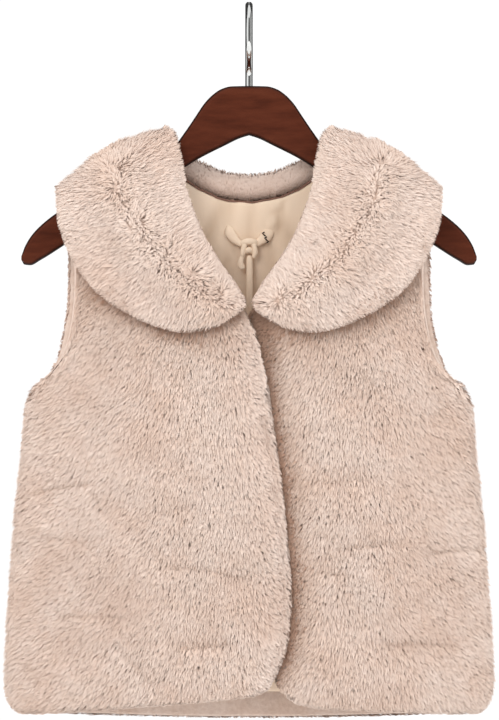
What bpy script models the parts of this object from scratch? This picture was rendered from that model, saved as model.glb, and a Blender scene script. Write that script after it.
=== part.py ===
"""A child's plush vest on a wooden hanger.

The origin is the inner top of the hook, where a rail touches it. X runs across the vest, +Y to its
back and +Z up. Sizes are in millimetres, and each mesh is scaled to metres as it is made.

The body is a family of surfaces inside each other, over the arms of the hanger. A place on it is
(turn, fall, out). turn is -1 at one side seam, 0 in the middle and 1 at the other side seam. fall
is how far down the cloth it lies from the shoulder line, over the arm. out is how far outside the
inner face of the plush it lies, so two pieces with different out never meet.
"""

import math
from collections import namedtuple

import bmesh
import bpy
import numpy as np

MM = 0.001
FRONT, BACK = -1, 1

# The plush, over its pile
PLUSH = 10.0
EDGE = 2.6
EDGE_ROUND = 9.0
SEAM = 0.3
LIE = 1.0
COLLAR_PLUSH = 13.0
LINING = 1.5
LINING_GAP = 0.7

# The shoulder, over the arm of the hanger
ARM_GAP = 0.9
CAP = 9.0
CAP_FALL = 14.0
THIN_CAP = 0.5
LINE_LAG = 40.0
TURN_LENGTH = 250.0
TIP_X = 121.0

# The hanger
WOOD_THICK = 12.0
WOOD_ROUND = 4.2
WIRE = 5.0
HOOK_INSIDE = 17.0
HOLE_SLACK = 0.6
STEM_DEPTH = 16.0

Girth = namedtuple("Girth", "z half_width squareness")
GIRTHS = (
    Girth(z=-484, half_width=142.0, squareness=2.4),
    Girth(z=-468, half_width=150.0, squareness=2.4),
    Girth(z=-450, half_width=154.0, squareness=2.4),
    Girth(z=-420, half_width=152.8, squareness=2.4),
    Girth(z=-380, half_width=150.2, squareness=2.4),
    Girth(z=-330, half_width=146.4, squareness=2.4),
    Girth(z=-300, half_width=142.6, squareness=2.4),
    Girth(z=-265, half_width=140.4, squareness=2.5),
    Girth(z=-250, half_width=139.4, squareness=2.6),
    Girth(z=-225, half_width=141.0, squareness=2.8),
    Girth(z=-190, half_width=148.0, squareness=3.2),
    Girth(z=-150, half_width=160.0, squareness=4.0),
    Girth(z=-110, half_width=172.0, squareness=5.0),
    Girth(z=-50, half_width=180.0, squareness=5.0),
)

Depth = namedtuple("Depth", "below front back")
DEPTHS = (
    Depth(below=0, front=10.2, back=10.2),
    Depth(below=15, front=11.0, back=11.4),
    Depth(below=30, front=13.0, back=14.0),
    Depth(below=60, front=18.0, back=18.0),
    Depth(below=100, front=23.5, back=22.5),
    Depth(below=160, front=27.0, back=26.0),
    Depth(below=260, front=27.5, back=27.0),
    Depth(below=390, front=30.0, back=29.0),
)

Point = namedtuple("Point", "x z")
ARM_TOP = (
    Point(49.6, -91.0),
    Point(60, -97.0),
    Point(75, -104.5),
    Point(89, -112.5),
    Point(102.5, -120.5),
    Point(118.6, -130.5),
    Point(128.6, -136.5),
)
NECK_SIDE = (Point(0, -86.0), Point(38, -86.3))
PAST_TIP = (Point(165, -160.0),)

# The hanger's outline: its crown and its round tip join the top of the arm to its lower edge
CROWN = (
    Point(0, -51.5),
    Point(12, -51.8),
    Point(18.5, -53.6),
    Point(24, -57.2),
    Point(29.5, -62.8),
    Point(36.2, -72.6),
    Point(43, -82.6),
)
ARM_END = (
    Point(136.7, -142.6),
    Point(144.7, -150.6),
    Point(150.1, -159.3),
    Point(152.2, -165.6),
)
WOOD_TOP = CROWN + ARM_TOP + ARM_END
WOOD_UNDER = (
    Point(0, -84.5),
    Point(6, -86.4),
    Point(16, -91.2),
    Point(32.8, -99.7),
    Point(45.6, -107.7),
    Point(84, -132.4),
    Point(122.6, -157.3),
    Point(140, -168.3),
    Point(146.6, -171.6),
    Point(150.4, -171.2),
    Point(152.2, -168.2),
)
WOOD_STATIONS = (
    *(0, 3.5, 8, 13, 18, 22, 26, 30, 35, 40, 44, 50, 58, 68, 80),
    *(92, 104, 116, 126, 134, 140, 144.5, 148, 150.2, 151.5, 152.2),
)

# Soft hollows and swells of the hanging cloth: the middle of each, its half length and half width,
# how far its length leans from level and how far it stands in (-) or out (+)
Fold = namedtuple("Fold", "face x z length width lean depth")
FOLDS = (
    Fold(FRONT, -104, -322, 34, 11, 10, -2.6),
    Fold(FRONT, -34, -372, 26, 10, -4, -2.0),
    Fold(FRONT, -96, -402, 30, 12, 3, -2.2),
    Fold(FRONT, -34, -421, 26, 9, -5, -2.0),
    Fold(FRONT, -70, -290, 60, 24, 78, 2.4),
    Fold(FRONT, 112, -362, 34, 11, 0, -2.4),
    Fold(FRONT, 78, -356, 26, 9, -8, -1.8),
    Fold(FRONT, 66, -312, 26, 10, 6, -2.2),
    Fold(FRONT, 62, -410, 60, 24, 84, 2.4),
    Fold(BACK, -82, -300, 46, 13, -14, -2.6),
    Fold(BACK, 88, -330, 42, 12, 12, -2.4),
    Fold(BACK, -40, -380, 52, 13, 4, -2.2),
    Fold(BACK, 52, -405, 46, 13, -6, -2.4),
    Fold(BACK, 0, -270, 80, 26, 88, 2.6),
)

# The edge of the front that laps over, from its rounded lower corner to the foot of the neck
LAP_EDGE = (
    Point(12.7, -452.0),
    Point(18.8, -440.0),
    Point(24.0, -426.5),
    Point(27.5, -401.0),
    Point(27.2, -380.0),
    Point(24.4, -356.0),
    Point(22.4, -327.5),
    Point(17.4, -295.0),
    Point(12.0, -254.0),
    Point(5.5, -220.0),
    Point(-0.5, -204.5),
)
LAP_HEM = (
    Point(-113, -467.6),
    Point(-77, -464.4),
    Point(-41.5, -461.6),
    Point(-14, -458.8),
    Point(4, -456.6),
)
LAP_ROOM = 1.3
LAP_REACH = (22.0, 16.0)

# The edge of the front that lies under it
UNDER_EDGE = (
    Point(21.0, -452.0),
    Point(15.0, -437.0),
    Point(13.4, -415.0),
    Point(13.8, -392.0),
    Point(11.4, -356.0),
    Point(9.4, -327.5),
    Point(4.4, -295.0),
    Point(-1.0, -254.0),
    Point(-6.5, -222.0),
    Point(-8.0, -208.0),
)
UNDER_HEM = (
    Point(113, -468.6),
    Point(77, -466.6),
    Point(50, -465.2),
    Point(31, -461.5),
)
UNDER_IN = 3.4
UNDER_OUT = 0.2
UNDER_RISE = (5.0, 15.0)

SIDE_HEM_Z = -471.0
ARMPIT_Z = -252.5
BACK_HEM = (Point(-100, -474.6), Point(0, -477.0), Point(100, -474.6))
HEM_TURN_SHARE = 0.048
HEM_TURN = 1.6

# Armholes, from the side seam up to the tip of the shoulder
FRONT_ARMHOLE = (
    Point(137.5, -251.9),
    Point(129.5, -243.6),
    Point(121.0, -226.0),
    Point(117.0, -205.0),
    Point(115.6, -180.0),
    Point(118.0, -155.0),
)
BACK_ARMHOLE = (
    Point(139.0, -251.5),
    Point(133.0, -242.8),
    Point(126.5, -228.0),
    Point(123.0, -208.0),
    Point(121.6, -180.0),
    Point(121.5, -155.0),
)

# The collar, from the centre front over the shoulder to the centre back: where it rolls over, where
# it is sewn to the neck and where it ends, in view from the front or the back
Leaf = namedtuple("Leaf", "face roll neck edge inner apex thick")
LEAVES = (
    Leaf(FRONT, Point(1.2, -196.5), Point(4.0, -199.5), Point(7.0, -203.0), 2.0, 11.0, 0.50),
    Leaf(FRONT, Point(4.5, -189.5), Point(9.4, -194.0), Point(14.0, -209.0), 0.6, 10.0, 0.86),
    Leaf(FRONT, Point(11.0, -178.5), Point(16.2, -183.4), Point(25.5, -214.6), 0.4, 9.0, 1.0),
    Leaf(FRONT, Point(20.0, -167.8), Point(25.8, -171.8), Point(41.5, -216.4), 0.4, 9.0, 1.0),
    Leaf(FRONT, Point(28.6, -154.5), Point(35.0, -158.0), Point(60.0, -212.4), 0.4, 9.0, 1.0),
    Leaf(FRONT, Point(36.0, -139.5), Point(42.8, -142.0), Point(80.0, -203.4), 0.4, 9.0, 1.0),
    Leaf(FRONT, Point(42.5, -127.0), Point(49.0, -129.0), Point(97.5, -192.0), 0.4, 9.0, 1.0),
    Leaf(FRONT, Point(46.5, -116.0), Point(53.6, -117.5), Point(110.5, -176.0), 0.4, 8.0, 1.0),
    Leaf(FRONT, Point(48.2, -105.0), Point(56.2, -108.0), Point(119.8, -159.5), 0.8, 7.0, 0.94),
    Leaf(FRONT, Point(50.0, -96.0), Point(60.2, -100.0), Point(125.6, -142.0), 1.2, 6.0, 0.86),
    Leaf(BACK, Point(53.5, None), Point(61.5, None), Point(128.0, None), 1.6, 6.0, 0.78),
    Leaf(BACK, Point(47.5, -96.0), Point(59.0, -104.5), Point(124.6, -146.0), 1.0, 6.5, 0.88),
    Leaf(BACK, Point(38.0, -100.5), Point(47.5, -115.5), Point(113.0, -167.0), -1.0, 7.5, 1.0),
    Leaf(BACK, Point(26.5, -106.0), Point(33.0, -122.0), Point(89.0, -182.0), -2.0, 8.0, 1.0),
    Leaf(BACK, Point(13.5, -110.3), Point(16.5, -127.0), Point(50.0, -190.0), -2.0, 8.0, 1.0),
    Leaf(BACK, Point(0.0, -111.8), Point(0.0, -128.6), Point(0.0, -193.0), -2.0, 8.0, 1.0),
)
COLLAR_LEVEL = 16.0
COLLAR_STATIONS = 65
RIDGE_CLOSER = 1.6
NECK_SEAM = 0.9
ROLL_ROUND = 24.0
LEAF_ROUND = 15.0
LEAF_UNDER_ROUND = 5.0

# The lining ends below the collar's seam, and below the arm of the hanger at the shoulders
LINING_BELOW_SEAM = 1.2
LINING_BELOW_ARM = 20.0
LINING_EVEN_SHARE = 0.82

# The tie, on the lining
Strand = namedtuple("Strand", "x z out width thick")
TAB_RIGHT = (
    Strand(-15.4, -145.0, -3.6, 7.4, 2.6),
    Strand(-13.4, -149.0, -4.2, 7.2, 3.2),
    Strand(-10.4, -153.6, -5.0, 5.6, 3.6),
    Strand(-6.6, -157.6, -5.6, 4.8, 3.8),
)
TAB_LEFT = (
    Strand(15.0, -148.4, -3.6, 7.4, 2.6),
    Strand(12.6, -151.6, -4.2, 7.0, 3.2),
    Strand(9.6, -154.8, -5.0, 5.6, 3.6),
    Strand(6.2, -157.8, -5.6, 4.8, 3.8),
)
KNOT_MIDDLE = Point(0.0, -160.0)
KNOT_OUT = -7.0
KNOT_SIZE = (11.2, 6.4, 12.6)
SHORT_END = (
    Strand(-3.4, -166.4, -8.0, 3.6, 2.8),
    Strand(-4.6, -169.6, -8.6, 4.4, 3.0),
    Strand(-5.4, -172.6, -9.0, 4.0, 2.4),
)
LONG_END_THICK = 4.4
LONG_END = (
    Point(0.2, -167.4),
    Point(0.4, -178.0),
    Point(0.3, -190.0),
    Point(0.0, -203.0),
    Point(-0.2, -216.0),
    Point(0.0, -229.0),
)
LONG_END_OUT = -8.0

Finish = namedtuple("Finish", "name colour roughness metallic")
PLUSH_FINISH = Finish("plush", (0.73, 0.58, 0.49), 0.95, 0.0)
SATIN_FINISH = Finish("lining_satin", (0.74, 0.60, 0.45), 0.5, 0.0)
WOOD_FINISH = Finish("walnut_stained_wood", (0.11, 0.028, 0.014), 0.35, 0.0)
CHROME_FINISH = Finish("chrome_wire", (0.6, 0.6, 0.6), 0.15, 1.0)


def smooth(value, knots, levels):
    """A curve through (knots, levels) that never overshoots them, straight beyond its ends."""
    knots = np.asarray(knots, float)
    levels = np.asarray(levels, float)
    value = np.asarray(value, float)
    slope = np.diff(levels) / np.diff(knots)
    turn = np.empty_like(levels)
    turn[0], turn[-1] = slope[0], slope[-1]
    before, after = slope[:-1], slope[1:]
    same = before * after > 0
    total = np.where(same, before + after, 1.0)
    turn[1:-1] = np.where(same, 2 * before * after / total, 0.0)
    i = np.clip(np.searchsorted(knots, value) - 1, 0, len(knots) - 2)
    width = knots[i + 1] - knots[i]
    t = np.clip((value - knots[i]) / width, 0, 1)
    start = levels[i] * (1 + 2 * t) * (1 - t) ** 2 + width * turn[i] * t * (1 - t) ** 2
    end = levels[i + 1] * t * t * (3 - 2 * t) + width * turn[i + 1] * t * t * (t - 1)
    past = value - np.clip(value, knots[0], knots[-1])
    return start + end + past * np.where(value < knots[0], turn[0], turn[-1])


def ease(value, low, high):
    """0 below low, 1 above high and a soft step between them."""
    t = np.clip((value - low) / (high - low), 0, 1)
    return t * t * (3 - 2 * t)


def shoulder_line(x):
    """The height of the inner face of the plush over the hanger, at x."""
    rows = NECK_SIDE + ARM_TOP + PAST_TIP
    return smooth(np.abs(x), [row.x for row in rows], [row.z for row in rows]) + ARM_GAP


def half_width(z):
    return smooth(z, [row.z for row in GIRTHS], [row.half_width for row in GIRTHS])


def squareness(z):
    return smooth(z, [row.z for row in GIRTHS], [row.squareness for row in GIRTHS])


def half_depth(below, face):
    backs = smooth(below, [row.below for row in DEPTHS], [row.back for row in DEPTHS])
    fronts = smooth(below, [row.below for row in DEPTHS], [row.front for row in DEPTHS])
    return np.where(np.asarray(face) > 0, backs, fronts)


def fold_height(x, z, face):
    """How far the cloth stands out of its plain form at a place."""
    height = np.zeros(np.broadcast(x, z, face).shape)
    for fold in FOLDS:
        lean = math.radians(fold.lean)
        along = (x - fold.x) * math.cos(lean) + (z - fold.z) * math.sin(lean)
        across = (z - fold.z) * math.cos(lean) - (x - fold.x) * math.sin(lean)
        swell = np.exp(-((along / fold.length) ** 2) - (across / fold.width) ** 2)
        height = height + np.where(np.asarray(face) == fold.face, fold.depth * swell, 0.0)
    return height


def line_above(x, z, hanging, out):
    """The shoulder line above a place. The further down, the more it is the inner face's own."""
    inside = x * half_width(z) / (half_width(z) + out)
    return shoulder_line(x + (inside - x) * hanging / (hanging + LINE_LAG))


def height_at(x, fall, out):
    angle = np.minimum(fall / CAP_FALL, 1) * math.pi / 2
    hanging = np.maximum(fall - CAP_FALL, 0)
    z = shoulder_line(x) - hanging
    for _ in range(6):
        z = line_above(x, z, hanging, out) + out - (CAP + out) * (1 - np.cos(angle)) - hanging
    return z


def place(x, z, out):
    """(turn, fall) of the place that is seen at x and z, out from the inner face."""
    x, z = np.asarray(x, float), np.asarray(z, float)
    hanging = np.zeros(np.broadcast(x, z).shape)
    for _ in range(12):
        hanging = np.maximum(line_above(x, z, hanging, out) - CAP - z, 0)
    rise = np.maximum(CAP + out, THIN_CAP)
    drop = np.clip(line_above(x, z, hanging, out) + out - z, 0, rise)
    over_arm = np.arccos(1 - drop / rise) / (math.pi / 2) * CAP_FALL
    return turn_at(x, z, out), np.where(hanging > 0, CAP_FALL + hanging, over_arm)


def turn_at(x, z, out):
    return np.arcsin(np.clip(x / (half_width(z) + out), -1, 1)) / (math.pi / 2)


def body_points(turn, fall, out, face, apart=SEAM / 2):
    """The points of the body's surfaces. apart keeps the front and the back off each other's seams."""
    turn, fall, out, face = np.broadcast_arrays(*(np.asarray(a, float) for a in (turn, fall, out, face)))
    across = np.sin(turn * math.pi / 2)
    x = across * half_width(-250.0)
    for _ in range(12):
        z = height_at(x, fall, out)
        x = across * (half_width(z) + out)
    power = squareness(z)
    round_in = np.maximum(1 - np.abs(across) ** power, 0) ** (1 / power)
    angle = np.minimum(fall / CAP_FALL, 1) * math.pi / 2
    depth = (half_depth(shoulder_line(x) - z, face) + out) * round_in * np.sin(angle)
    depth = depth + fold_height(x, z, face) * round_in
    return np.stack([x, face * (depth + apart), z], axis=-1)


def lengths(run, scale=(1, 1)):
    """How far each point of a run lies along it."""
    steps = np.hypot(*(np.diff(run, axis=0) * scale).T)
    return np.concatenate([[0], np.cumsum(steps)])


def drawn(points, out=PLUSH / 2, count=120):
    """A smooth run of (turn, fall) that is seen at points."""
    spots = np.array(points, float)
    knots = lengths(spots)
    t = np.linspace(0, knots[-1], count)
    return np.stack(place(smooth(t, knots, spots[:, 0]), smooth(t, knots, spots[:, 1]), out), axis=1)


def border(*stretches):
    """An edge of a panel as a function of 0 to 1, from (end, run) pairs."""
    begin, shares, runs = 0.0, [], []
    for end, run in stretches:
        length = lengths(run, (TURN_LENGTH, 1))
        shares.append(begin + (end - begin) * length / length[-1])
        runs.append(run)
        begin = end
    shares, runs = np.concatenate(shares), np.concatenate(runs)
    return lambda t: np.stack([np.interp(t, shares, runs[:, 0]), np.interp(t, shares, runs[:, 1])], axis=-1)


def on_side(sign, z, out=PLUSH / 2):
    return Point(sign * (half_width(z) + out), z)


def on_ridge(x, out=PLUSH / 2):
    return Point(x, shoulder_line(x) + out)


def side_seam(sign, low, high, out=PLUSH / 2):
    heights = np.linspace(low, high, 60)
    _, fall = place(sign * (half_width(heights) + out), heights, out)
    return np.stack([np.full_like(heights, float(sign)), fall], axis=1)


def shoulder_seam(sign, neck):
    """From the tip of the shoulder in to the neck, along the ridge."""
    tip = turn_at(sign * TIP_X, on_ridge(TIP_X).z, PLUSH / 2)
    return np.stack([np.linspace(tip, neck[0], 40), np.zeros(40)], axis=1)


def mirrored(points):
    return tuple(Point(-p.x, p.z) for p in points)


def neck_seam(face, sign):
    """The neck seam of one side of a face, from the middle to the shoulder line."""
    x, fall = collar_table(401)[:, 2:4].T
    kept = (face * fall > 0) & (sign * x > 0)
    x, fall = np.abs(x[kept]), np.abs(fall[kept])
    order = np.argsort(x)
    x, fall = np.append(x[order], x.max()), np.append(fall[order], 0.0)
    turn = turn_at(x, height_at(x, fall, COLLAR_LEVEL), COLLAR_LEVEL)
    return np.stack([sign * turn, fall], axis=1)


def filled(bottom, top, left, right, across, up):
    """(turn, fall) over a panel with four borders, at each across (0 to 1) and up (0 to 1)."""
    u, v = np.meshgrid(across, up, indexing="ij")
    u, v = u[..., None], v[..., None]
    between = (1 - v) * bottom(across)[:, None] + v * top(across)[:, None]
    between = between + (1 - u) * left(up)[None, :] + u * right(up)[None, :]
    corners = (1 - u) * (1 - v) * bottom(0.0) + u * (1 - v) * bottom(1.0)
    corners = corners + (1 - u) * v * top(0.0) + u * v * top(1.0)
    return between - corners


def graded(inner, low_edge=(), high_edge=()):
    """0 to 1 in inner even steps, with finer steps at an edge where the pile rounds over."""
    low = max(low_edge) if low_edge else 0.0
    high = 1 - (max(high_edge) if high_edge else 0.0)
    even = np.linspace(low, high, inner + 1)
    ends = [0.0, 1.0] + list(low_edge) + [1 - e for e in high_edge]
    return np.unique(np.round(np.concatenate([even, ends]), 6))


def pile(points, free_edges):
    """How far the pile stands at each point, 0 at a free edge to 1 past its rounding."""
    edge = np.concatenate(free_edges)
    gap = np.full(points.shape[:-1], np.inf)
    for spot in edge:
        gap = np.minimum(gap, np.linalg.norm(points - spot, axis=-1))
    return np.sqrt(1 - (1 - np.minimum(gap / EDGE_ROUND, 1)) ** 2)


def finish_material(finish):
    material = bpy.data.materials.get(finish.name)
    if material is None:
        material = bpy.data.materials.new(finish.name)
        material.use_nodes = True
        shader = material.node_tree.nodes["Principled BSDF"]
        shader.inputs["Base Color"].default_value = (*finish.colour, 1)
        shader.inputs["Roughness"].default_value = finish.roughness
        shader.inputs["Metallic"].default_value = finish.metallic
        material.diffuse_color = (*finish.colour, 1)
    return material


def add_object(name, shape, finish):
    """Turns a bmesh in millimetres into an object in metres, with its faces pointing out."""
    bmesh.ops.recalc_face_normals(shape, faces=shape.faces)
    bmesh.ops.scale(shape, vec=(MM, MM, MM), verts=shape.verts)
    mesh = bpy.data.meshes.new(name)
    shape.to_mesh(mesh)
    shape.free()
    mesh.materials.append(finish_material(finish))
    mesh.shade_smooth()
    mesh.set_sharp_from_angle(angle=math.radians(40))
    made = bpy.data.objects.new(name, mesh)
    bpy.context.scene.collection.objects.link(made)
    return made


def wall(name, inner, outer, finish):
    """A closed wall between two grids of points."""
    shape = bmesh.new()
    columns, rows = inner.shape[:2]
    inside = [[shape.verts.new(inner[i, j]) for j in range(rows)] for i in range(columns)]
    outside = [[shape.verts.new(outer[i, j]) for j in range(rows)] for i in range(columns)]
    for i in range(columns - 1):
        for j in range(rows - 1):
            shape.faces.new((inside[i][j], inside[i][j + 1], inside[i + 1][j + 1], inside[i + 1][j]))
            shape.faces.new((outside[i][j], outside[i + 1][j], outside[i + 1][j + 1], outside[i][j + 1]))
    ring = [(i, 0) for i in range(columns)] + [(columns - 1, j) for j in range(1, rows)]
    ring += [(i, rows - 1) for i in range(columns - 2, -1, -1)] + [(0, j) for j in range(rows - 2, 0, -1)]
    for (i, j), (k, m) in zip(ring, ring[1:] + ring[:1]):
        shape.faces.new((inside[i][j], inside[k][m], outside[k][m], outside[i][j]))
    return add_object(name, shape, finish)


def tube(name, rings, finish):
    """A closed body through rings of points."""
    shape = bmesh.new()
    loops = [[shape.verts.new(p) for p in ring] for ring in rings]
    for first, second in zip(loops, loops[1:]):
        for k in range(len(first)):
            n = (k + 1) % len(first)
            shape.faces.new((first[k], first[n], second[n], second[k]))
    shape.faces.new(loops[0])
    shape.faces.new(loops[-1])
    return add_object(name, shape, finish)


def lap_edge_x(z):
    """The edge of the front that laps over, at a height."""
    rows = (Point(-14, -459.0), Point(4, -456.6)) + LAP_EDGE + (Point(6, -190),)
    return smooth(np.minimum(z, rows[-1].z), [row.z for row in rows], [row.x for row in rows])


PANEL_UP = graded(15, (0.004, 0.012, 0.025, 0.042, 0.048, 0.072, 0.1), (0.007, 0.014, 0.022, 0.031, 0.041))
LOWER_SHARE = 0.64
NECK_SHARES = (0.21, 0.79)


def front(name, sign, edge, hem, neck):
    """One front. sign is the side of its side seam, and edge, hem and neck are its own borders."""
    armhole = FRONT_ARMHOLE if sign > 0 else mirrored(FRONT_ARMHOLE)
    seam = side_seam(sign, SIDE_HEM_Z, ARMPIT_Z)
    bottom = border((1, drawn((on_side(sign, SIDE_HEM_Z),) + hem + edge[:1])))
    top = border((1, shoulder_seam(sign, neck[-1])))
    arm = drawn((on_side(sign, ARMPIT_Z),) + armhole + (on_ridge(sign * TIP_X),))
    left = border((LOWER_SHARE, seam), (1, arm))
    closing = drawn(edge)
    right = border((LOWER_SHARE, closing), (1, np.concatenate([closing[-1:], neck])))
    across = graded(8, (0.010, 0.032, 0.07), (0.010, 0.030, 0.060, 0.090, 0.120, 0.165))
    turn, fall = np.moveaxis(filled(bottom, top, left, right, across, PANEL_UP), -1, 0)
    middle = body_points(turn, fall, PLUSH / 2, FRONT)
    dense = np.linspace(0, 1, 200)
    rims = (bottom(dense), right(dense[: int(200 * LOWER_SHARE) + 8]), left(dense[int(200 * LOWER_SHARE) :]))
    free = [body_points(rim[:, 0], rim[:, 1], PLUSH / 2, FRONT) for rim in rims]
    stand = pile(middle, free)
    x, z = middle[..., 0], middle[..., 2]
    past_lap = x - lap_edge_x(z)
    if sign < 0:
        # This front laps over: its inner face leaves room for the other front's edge
        inner = LAP_ROOM * ease(past_lap, -LAP_REACH[0], -LAP_REACH[1])
        outer = inner + EDGE + (PLUSH - inner - EDGE) * stand
    else:
        # This one lies under: its pile is pressed flat below the lap, and rises clear of it
        risen = ease(past_lap, *UNDER_RISE)
        inner = -UNDER_IN * (1 - ease(past_lap, 0, 12))
        pressed = UNDER_OUT + (PLUSH - UNDER_OUT) * risen
        outer = np.minimum(inner + EDGE + (PLUSH - inner - EDGE) * stand, pressed)
    return wall(
        name,
        body_points(turn, fall, inner, FRONT),
        body_points(turn, fall, outer, FRONT),
        PLUSH_FINISH,
    )


def make_fronts():
    front("front_right", -1, LAP_EDGE, LAP_HEM, neck_seam(FRONT, -1))
    front("front_left", 1, UNDER_EDGE, UNDER_HEM, neck_seam(FRONT, 1))


def back_borders():
    seams = {sign: side_seam(sign, SIDE_HEM_Z, ARMPIT_Z) for sign in (-1, 1)}
    corners = {sign: on_side(sign, SIDE_HEM_Z) for sign in (-1, 1)}
    bottom = border((1, drawn((corners[-1],) + BACK_HEM + (corners[1],))))
    neck = np.concatenate([neck_seam(BACK, -1)[::-1], neck_seam(BACK, 1)])
    left_shoulder = shoulder_seam(-1, neck[0])
    right_shoulder = shoulder_seam(1, neck[-1])[::-1]
    top = border((NECK_SHARES[0], left_shoulder), (NECK_SHARES[1], neck), (1, right_shoulder))
    sides = []
    for sign in (-1, 1):
        armhole = BACK_ARMHOLE if sign > 0 else mirrored(BACK_ARMHOLE)
        arm = drawn((on_side(sign, ARMPIT_Z),) + armhole + (on_ridge(sign * TIP_X),))
        sides.append(border((LOWER_SHARE, seams[sign]), (1, arm)))
    return bottom, top, sides[0], sides[1]


def back_grid():
    """(turn, fall) of the back's points, and the share of its height of each row."""
    bottom, top, left, right = back_borders()
    edge = (0.006, 0.018, 0.038)
    across = graded(20, edge, edge)
    turn, fall = np.moveaxis(filled(bottom, top, left, right, across, PANEL_UP), -1, 0)
    return turn, fall, PANEL_UP


def make_back():
    turn, fall, up = back_grid()
    bottom, _, left, right = back_borders()
    middle = body_points(turn, fall, PLUSH / 2, BACK)
    dense = np.linspace(0, 1, 200)
    upper = dense[int(200 * LOWER_SHARE) :]
    rims = (bottom(dense), left(upper), right(upper))
    free = [body_points(rim[:, 0], rim[:, 1], PLUSH / 2, BACK) for rim in rims]
    inner = np.where(up < HEM_TURN_SHARE - 0.001, -HEM_TURN, 0.0)[None, :]
    outer = inner + EDGE + (PLUSH - inner - EDGE) * pile(middle, free)
    wall(
        "back",
        body_points(turn, fall, inner, BACK),
        body_points(turn, fall, outer, BACK),
        PLUSH_FINISH,
    )


def make_lining():
    """The lining is made from the back's points, moved in, from the turned-up hem to the neck seam."""
    turn, fall, up = back_grid()
    kept = up >= HEM_TURN_SHARE
    turn, fall, up = turn[1:-1, kept], fall[1:-1, kept], up[kept]
    low = fall[:, np.searchsorted(up, LINING_EVEN_SHARE)][:, None]
    top = np.maximum(fall[:, -1:] + LINING_BELOW_SEAM, LINING_BELOW_ARM)
    share = (low - fall) / (low - fall[:, -1:])
    fall = np.where(up[None, :] > LINING_EVEN_SHARE, low + (top - low) * share, fall)
    wall(
        "back_lining",
        body_points(turn, fall, -LINING_GAP - LINING, BACK),
        body_points(turn, fall, -LINING_GAP, BACK),
        SATIN_FINISH,
    )


def collar_rows():
    """The collar's table as an array from one centre front round the back to the other, with the
    fall of each place negative on the front."""
    rows = []
    for leaf in LEAVES:
        row = []
        for spot in (leaf.roll, leaf.neck, leaf.edge):
            z = shoulder_line(spot.x) + COLLAR_LEVEL if spot.z is None else spot.z
            _, fall = place(spot.x, z, COLLAR_LEVEL)
            row += [spot.x, leaf.face * float(fall)]
        rows.append(row + [leaf.inner, leaf.apex, leaf.thick])
    half = np.array(rows)
    other = half[-2::-1].copy()
    other[:, 0:6:2] *= -1
    return np.concatenate([half, other])


def collar_ring(row):
    """One section of the collar, as (x, signed fall, out) points round it."""
    roll, neck, edge = row[0:2], row[2:4], row[4:6]
    inner, apex, thick = row[6:9]
    base = PLUSH + LIE
    top = base + COLLAR_PLUSH * thick
    sewn = np.linalg.norm(roll - neck)
    whole = sewn + np.linalg.norm(edge - neck)
    roll_round = min(ROLL_ROUND, 0.5 * whole)
    leaf_round = min(LEAF_ROUND, 0.4 * whole)
    under_round = min(LEAF_UNDER_ROUND, 0.3 * whole)
    tip = base + 0.36 * (top - base)

    def spot(t, out):
        if t < sewn:
            flat = roll + (neck - roll) * t / sewn
        else:
            flat = neck + (edge - neck) * (t - sewn) / (whole - sewn)
        return (flat[0], flat[1], out)

    def swell(share):
        return math.sqrt(1 - (1 - share) ** 2)

    ring = [spot(roll_round * s, apex + (top - apex) * swell(s)) for s in (0, 0.04, 0.16, 0.36, 0.65, 1)]
    flat_run = whole - roll_round - leaf_round
    ring += [spot(roll_round + flat_run * s, top) for s in (0.25, 0.5, 0.75, 1)]
    ring += [spot(whole - leaf_round * s, tip + (top - tip) * swell(s)) for s in (0.55, 0.25, 0.07, 0)]
    ring += [spot(whole - under_round * s, tip - (tip - base) * swell(s)) for s in (0.35, 1)]
    under = whole - under_round - sewn
    ring += [spot(sewn + under * s, base) for s in (0.66, 0.33)]
    seam = max(sewn - NECK_SEAM, 0.6 * sewn)
    ring += [spot(seam, base), spot(seam, inner)]
    ring += [spot(seam * s, apex - (apex - inner) * swell(s)) for s in (0.5, 0.12)]
    return ring


def collar_table(count):
    """The collar's rows at count stations, closer together where it bends over the shoulders."""
    rows = collar_rows()
    middles = (rows[:, 0:2] + rows[:, 4:6]) / 2
    steps = np.linalg.norm(np.diff(middles, axis=0), axis=1)
    knots = np.concatenate([[0], np.cumsum(steps)])
    dense = np.linspace(0, knots[-1], 800)
    bend = np.exp(-((smooth(dense, knots, middles[:, 1]) / (1.5 * CAP_FALL)) ** 2))
    progress = np.cumsum(1 + RIDGE_CLOSER * bend)
    wanted = np.linspace(progress[0], progress[-1], count)
    stations = np.interp(wanted, progress, dense)
    return np.stack([smooth(stations, knots, rows[:, k]) for k in range(rows.shape[1])], axis=1)


def make_collar():
    rings = []
    for row in collar_table(COLLAR_STATIONS):
        x, fall, out = np.array(collar_ring(row)).T
        z = height_at(x, np.abs(fall), COLLAR_LEVEL)
        turn = turn_at(x, z, COLLAR_LEVEL)
        face = np.where(fall < 0, FRONT, BACK)
        rings.append(body_points(turn, np.abs(fall), out, face, apart=0.0))
    tube("collar", rings, PLUSH_FINISH)


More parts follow.
